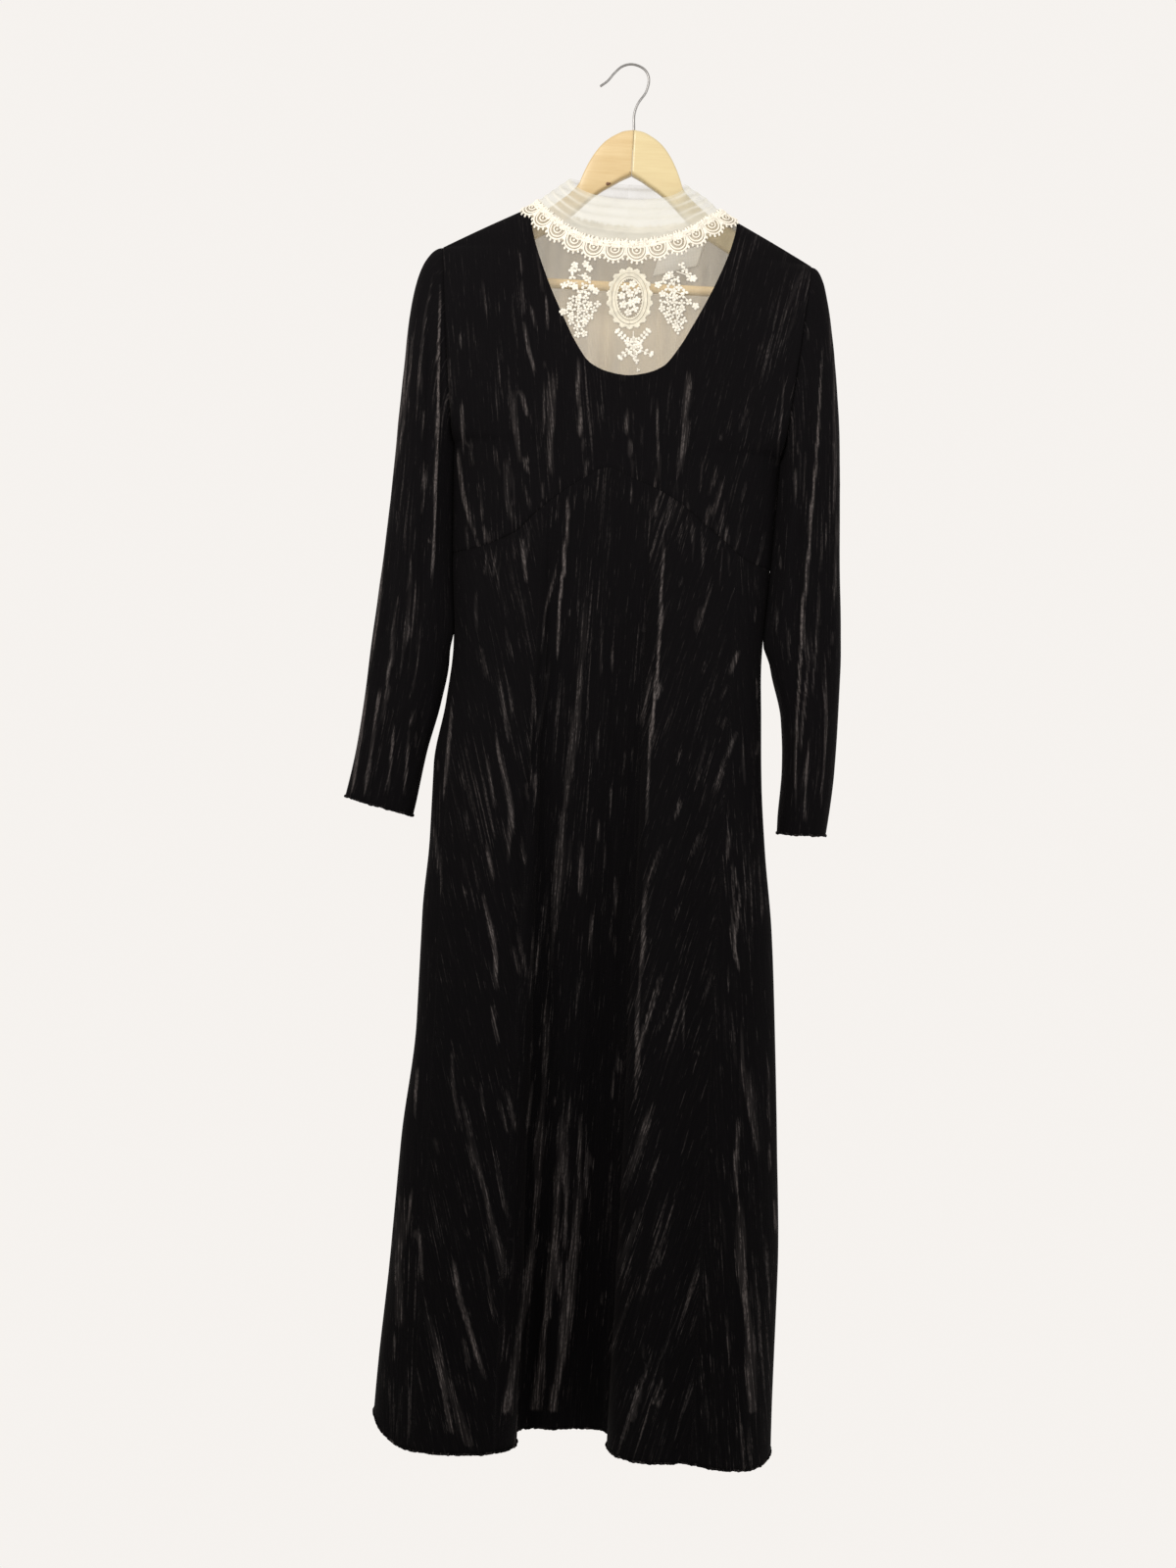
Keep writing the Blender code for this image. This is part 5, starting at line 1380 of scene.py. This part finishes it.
# Threads round the oval: half-width, half-height, lift, thickness
MEDALLION_RINGS = (
    (22.2, 30.9, 0.8, 1.15), (20.6, 29.4, 0.5, 0.8), (18.6, 27.5, 0.9, 0.75), (17.5, 26.3, 0.5, 0.7),
    (16.4, 25.1, 0.5, 0.7), (14.6, 22.9, 0.9, 0.95),
)
# Threes of petals round its rim and small beads inside it, each on an oval of its own
MEDALLION_PETALS = 18
MEDALLION_RIM = (23.2, 32.0)
MEDALLION_BEADS = (13.6, 21.8)
# The flower in the oval and the sprig below it: stems, and flower heads (right, down, petals,
# reach of the petals, their size)
FLOWER_STEMS = (
    ((0, 17), (-1.5, 8), (1, 0), (-1, -9), (1.5, -16)), ((-1, 7), (-5, 3), (-7.5, -3)),
    ((1, 3), (5, -2), (6.5, -8)),
)
FLOWER_HEADS = (
    (-5, -12, 5, 2.8, 2), (3.5, -16, 5, 2.6, 2), (8.5, -8.5, 4, 2.6, 1.9), (-8.5, -3, 5, 2.7, 2),
    (0.5, -5.5, 5, 2.9, 2), (8, 2, 5, 2.6, 1.9), (-7, 7, 5, 2.7, 2), (1.5, 5, 5, 2.8, 2),
    (6, 11.5, 4, 2.5, 1.9), (-1.5, 15.5, 5, 2.6, 1.9),
)
SPRIG_STEMS = (
    ((4, 36), (4, 44), (5, 52), (5, 62), (8, 69)), ((4, 53), (-5, 46), (-13, 36)),
    ((5, 53), (13, 47), (20, 36)), ((3, 55), (-4, 59), (-10, 65)), ((6, 55), (14, 58), (23, 62)),
)
SPRIG_HEADS = (
    (4, 54, 5, 2.6, 1.8), (10, 51, 5, 2.6, 1.8), (-1, 50, 5, 2.6, 1.8), (4.5, 46, 5, 2.6, 1.8),
    (1, 61, 3, 1.7, 1.6), (8, 60, 3, 1.7, 1.6), (5, 65, 3, 1.7, 1.6), (7.5, 69.5, 3, 1.7, 1.6),
    (9, 79, 3, 1.1, 0.9),
)
# Its leafy arms: foot, tip, pairs of leaves
SPRIG_ARMS = ((1, 50, -12.5, 37, 5), (8, 50, 19.5, 36.5, 5), (-1, 57, -9.5, 64.5, 3), (11, 56, 22.5, 61, 3))
# Sprays beside the oval: seed, stems, flower heads above, and rows of flower heads below them
# (down, from, to)
SPRAY_PITCH = 7.2
SPRAYS = (
    (
        "left", 53,
        (
            ((-57, -14), (-56, -6), (-55, 0), (-57, 20), (-56, 38)), ((-57, -26), (-50, -24), (-42, -20)),
            ((-57, -18), (-64, -17), (-71, -15)), ((-55, -8), (-46, -10), (-37, -8)),
        ),
        (
            (-60, -37), (-57.5, -32), (-63, -31), (-48, -38), (-44, -33), (-62.5, -24), (-49, -24.5),
            (-45, -20), (-72, -14.5), (-66, -16), (-60, -13), (-50, -14), (-37, -8), (-42, -12),
            (-54, -6), (-47, -5), (-73, 15),
        ),
        (
            (0, -63, -46), (6.6, -66, -36), (13.2, -69, -34), (19.8, -65, -38), (26.4, -63, -43),
            (33, -60, -46), (39.5, -57.5, -50),
        ),
    ),
    (
        "right", 54,
        (
            ((49, -20), (49, -10), (47, 0), (51, 18), (53, 36)), ((51, -30), (60, -27), (70, -23)),
            ((50, -24), (40, -22), (31, -15)), ((49, -8), (58, -4), (66, 6)),
        ),
        (
            (57, -37), (60, -32), (45, -27), (41, -24), (64, -27), (70, -22.5), (66, -22), (37, -19),
            (31, -15), (46, -17), (52, -21), (42, -11), (48, -8), (54, -12), (36, -5), (72, 8.5),
            (60, -7),
        ),
        (
            (-2, 43, 62), (4.6, 34, 67), (11.2, 36, 64), (17.8, 39, 61), (24.4, 44, 60), (31, 48, 58),
            (36, 52, 56),
        ),
    ),
)


def worked(dx, dy, lift=1.0):
    """Points of the embroidery and the directions straight out, from distances right and down."""
    turn = -EYE_TURN
    x = OVAL[0] + dx * math.cos(turn) + dy * math.sin(turn)
    z = OVAL[1] - (dy * math.cos(turn) - dx * math.sin(turn))
    x, z = (np.atleast_1d(v).astype(float) for v in (x, z))
    out = body_normal(x, z, -1)
    return body_point(x, z, -1) + lift * out, out


def petal(heap, dx, dy, angle, long, wide, lift=1.0):
    points, out = worked(dx, dy, lift)
    along = np.array([math.cos(angle), 0, -math.sin(angle)])
    heap.bead(points[0], out[0], along, (long, wide, PETAL_HEIGHT))


def stem(heap, places):
    places = np.array(places, float)
    knots = np.arange(len(places))
    fine_knots = np.linspace(0, len(places) - 1, 6 * len(places))
    dx, dy = (rounded(fine_knots, knots, places[:, k]) for k in (0, 1))
    heap.thread(worked(dx, dy, 0.8)[0], STEM_RADIUS, 5)


def cluster(heap, random, dx, dy, count, reach, size):
    """A small flower: petals round a middle."""
    start = random.uniform(0, 2 * math.pi)
    for k in range(count):
        angle = start + 2 * math.pi * k / count
        long, wide, lift = (random.uniform(*ends) for ends in ((1.0, 1.2), (0.9, 1.05), (-0.15, 0.35)))
        right, down = dx + reach * math.cos(angle), dy + reach * math.sin(angle)
        petal(heap, right, down, angle, size * long, size * wide, 1.0 + lift)
    petal(heap, dx, dy, start, size * 0.6, size * 0.6, 1.4)


# Medallion
heap = Heap()
turn = np.linspace(0, 2 * math.pi, 73)
for across, tall, lift, thread in MEDALLION_RINGS:
    heap.thread(worked(across * np.sin(turn), tall * np.cos(turn), lift)[0], thread)
for k in range(MEDALLION_PETALS):
    spot = 2 * math.pi * k / MEDALLION_PETALS
    dx, dy = MEDALLION_RIM[0] * math.sin(spot), MEDALLION_RIM[1] * math.cos(spot)
    angle = math.atan2(dy, dx)
    for slip in (-1.8, 1.8):
        petal(heap, dx - slip * math.sin(angle), dy + slip * math.cos(angle), angle, 2.1, 1.9)
    petal(heap, dx * 1.045, dy * 1.035, angle, 1.9, 1.9, 1.1)
for k in range(2 * MEDALLION_PETALS):
    spot = math.pi * k / MEDALLION_PETALS
    dx, dy = MEDALLION_BEADS[0] * math.sin(spot), MEDALLION_BEADS[1] * math.cos(spot)
    petal(heap, dx, dy, spot, 1.1, 0.9, 0.9)
heap.build("medallion_work", "medallion", WORK)

# Flower, sprig and sprays
heap = Heap()
random = np.random.default_rng(51)
for places in FLOWER_STEMS:
    stem(heap, places)
for head in FLOWER_HEADS:
    cluster(heap, random, *head)
heap.build("flower_work", "medallion_flower", PETALS)

heap = Heap()
random = np.random.default_rng(52)
for places in SPRIG_STEMS:
    stem(heap, places)
for foot_x, foot_y, tip_x, tip_y, pairs in SPRIG_ARMS:
    away = math.atan2(tip_y - foot_y, tip_x - foot_x)
    for share in np.linspace(0, 1, pairs):
        dx, dy = foot_x + (tip_x - foot_x) * share, foot_y + (tip_y - foot_y) * share
        for way in (away + 1, away - 1):
            petal(heap, dx + 2.2 * math.cos(way), dy + 2.2 * math.sin(way), way, 2.3, 1.85)
    petal(heap, tip_x + 1.8 * math.cos(away), tip_y + 1.8 * math.sin(away), away, 2.3, 1.9)
for head in SPRIG_HEADS:
    cluster(heap, random, *head)
heap.build("sprig_work", "sprig", PETALS)

for word, seed, stems, heads, rows in SPRAYS:
    heap = Heap()
    random = np.random.default_rng(seed)
    for places in stems:
        stem(heap, places)
    for dx, dy in heads:
        cluster(heap, random, dx, dy, random.integers(3, 6), 2.4, 1.85)
    for number, (dy, low, high) in enumerate(rows):
        for dx in np.arange(low + 1.2 * (number % 2), high + 0.1, SPRAY_PITCH):
            slip = random.uniform(-0.9, 0.9, 2)
            cluster(heap, random, dx + slip[0], dy + slip[1], random.integers(3, 6), 2.45, 1.7)
    heap.build(f"spray_{word}_work", f"spray_{word}", PETALS)

# Label
down, over = np.meshgrid(np.linspace(0.5, -0.5, 13), np.linspace(-0.5, 0.5, 25), indexing="ij")
x = LABEL_ACROSS + over * LABEL_LONG * math.cos(LABEL_TILT) - down * LABEL_TALL * math.sin(LABEL_TILT)
z = LABEL_HEIGHT - over * LABEL_LONG * math.sin(LABEL_TILT) + down * LABEL_TALL * math.cos(LABEL_TILT)
facing = -body_normal(x, z, 1)
points = body_point(x, z, 1) + (2.2 + 0.8 * np.sin(over * 9) * down)[..., None] * facing
grain = grain_at(over * LABEL_LONG, down * LABEL_TALL)
add_cloth("neck_label_cloth", "neck_label", points, facing, LABEL, 0.5, grain=grain)

# Hanger: two arms of rounded section, a bar and a hook of wire
ARM_STEPS = 90
BAR_HALF = 176
quarters = ((1, 1), (-1, 1), (-1, -1), (1, -1))
corner = np.linspace(0, math.pi / 2, 8)
for word, side, wood in (("left", -1, SHADED_LEFT_WOOD), ("right", 1, LIT_RIGHT_WOOD)):
    reaches = np.linspace(HANGER_ARM[0][0], HANGER_ARM[-1][0], ARM_STEPS)
    points = []
    for reach, top, bottom, half in zip(reaches, *(read(HANGER_ARM, reaches, k) for k in (1, 2, 3))):
        round_off = min(ARM_CORNER, half - 0.3)
        for quarter, (side_y, side_z) in enumerate(quarters):
            turns = corner + quarter * math.pi / 2
            y = side_y * (half - round_off) + round_off * np.cos(turns)
            z = (top - round_off if side_z > 0 else bottom + round_off) + round_off * np.sin(turns)
            points.append(np.stack([np.full_like(y, side * reach), y, z], -1))
    faces = tube_faces(ARM_STEPS, len(quarters) * len(corner))
    if side > 0:
        faces = [face[::-1] for face in faces]
    add_mesh(f"arm_{word}_wood", f"hanger_arm_{word}", points, faces, wood)

heap = Heap()
heap.thread([(x, 0, BAR_HEIGHT) for x in np.linspace(-BAR_HALF, BAR_HALF, 40)], BAR_RADIUS, 28)
heap.build("bar_wood", "hanger_bar", LIT_BAR_WOOD)

path = np.array(HOOK_PATH)
away = np.linalg.norm(np.diff(path, axis=0), axis=1)
knots = np.concatenate([[0], np.cumsum(np.sqrt(away))])
places = np.interp(np.linspace(0, len(path) - 1, 100), np.arange(len(path)), knots)
x, z = (rounded(places, knots, path[:, k]) for k in (0, 1))
heap = Heap()
heap.thread(np.stack([x, 0 * x, z], -1), HOOK_WIRE, 14)
heap.build("hook_wire", "hanger_hook", STEEL, shift=0.0)

# Floor, light and camera
FLOOR = -2.35
FLOOR_HALF = 1.5
mesh = bpy.data.meshes.new("floor")
corners = [(FLOOR_HALF * x, FLOOR_HALF * y, FLOOR) for x, y in ((-1, -1), (1, -1), (1, 1), (-1, 1))]
mesh.from_pydata(corners, [], [(0, 1, 2, 3)])
s = Shader("floor", Roughness=0.9)
s.set("Base Color", s.mixed(s.noise(s.place(), (3, 3, 3), 2), (0.80, 0.79, 0.77), (0.84, 0.83, 0.82)))
mesh.materials.append(s.material)
linked("floor", mesh)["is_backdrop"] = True

world = bpy.data.worlds.new("world")
bpy.context.scene.world = world
world.use_nodes = True
sky = world.node_tree.nodes["Background"].inputs
sky["Color"].default_value = (0.92, 0.89, 0.86, 1)
sky["Strength"].default_value = 1.0
bpy.context.scene.view_settings.view_transform = "Standard"


def add_light(name, place, target, size, power, colour):
    lamp = bpy.data.lights.new(name, "AREA")
    lamp.size = size
    lamp.energy = power
    lamp.color = colour
    made = linked(name, lamp)
    made.location = place
    way = np.array(target) - np.array(place)
    tilt = math.atan2(math.hypot(way[0], way[1]), -way[2])
    made.rotation_euler = (tilt, 0, math.atan2(way[1], way[0]) - math.pi / 2)


add_light("key", (-1.3, -2.0, 0.5), (0, 0, -0.7), 1.2, 45, (1.0, 0.98, 0.95))
add_light("fill", (1.8, -1.6, -0.4), (0, 0, -0.9), 1.6, 16, (0.97, 0.98, 1.0))

lens = bpy.data.cameras.new("camera")
lens.lens = EYE_LENS
lens.clip_end = 50
camera = linked("camera", lens)
camera.location = ((EYE[0] + HANG_SHIFT) * MM, EYE[1] * MM, EYE[2] * MM)
camera.rotation_euler = (math.pi / 2, EYE_TURN, 0)
bpy.context.scene.camera = camera

low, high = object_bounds()
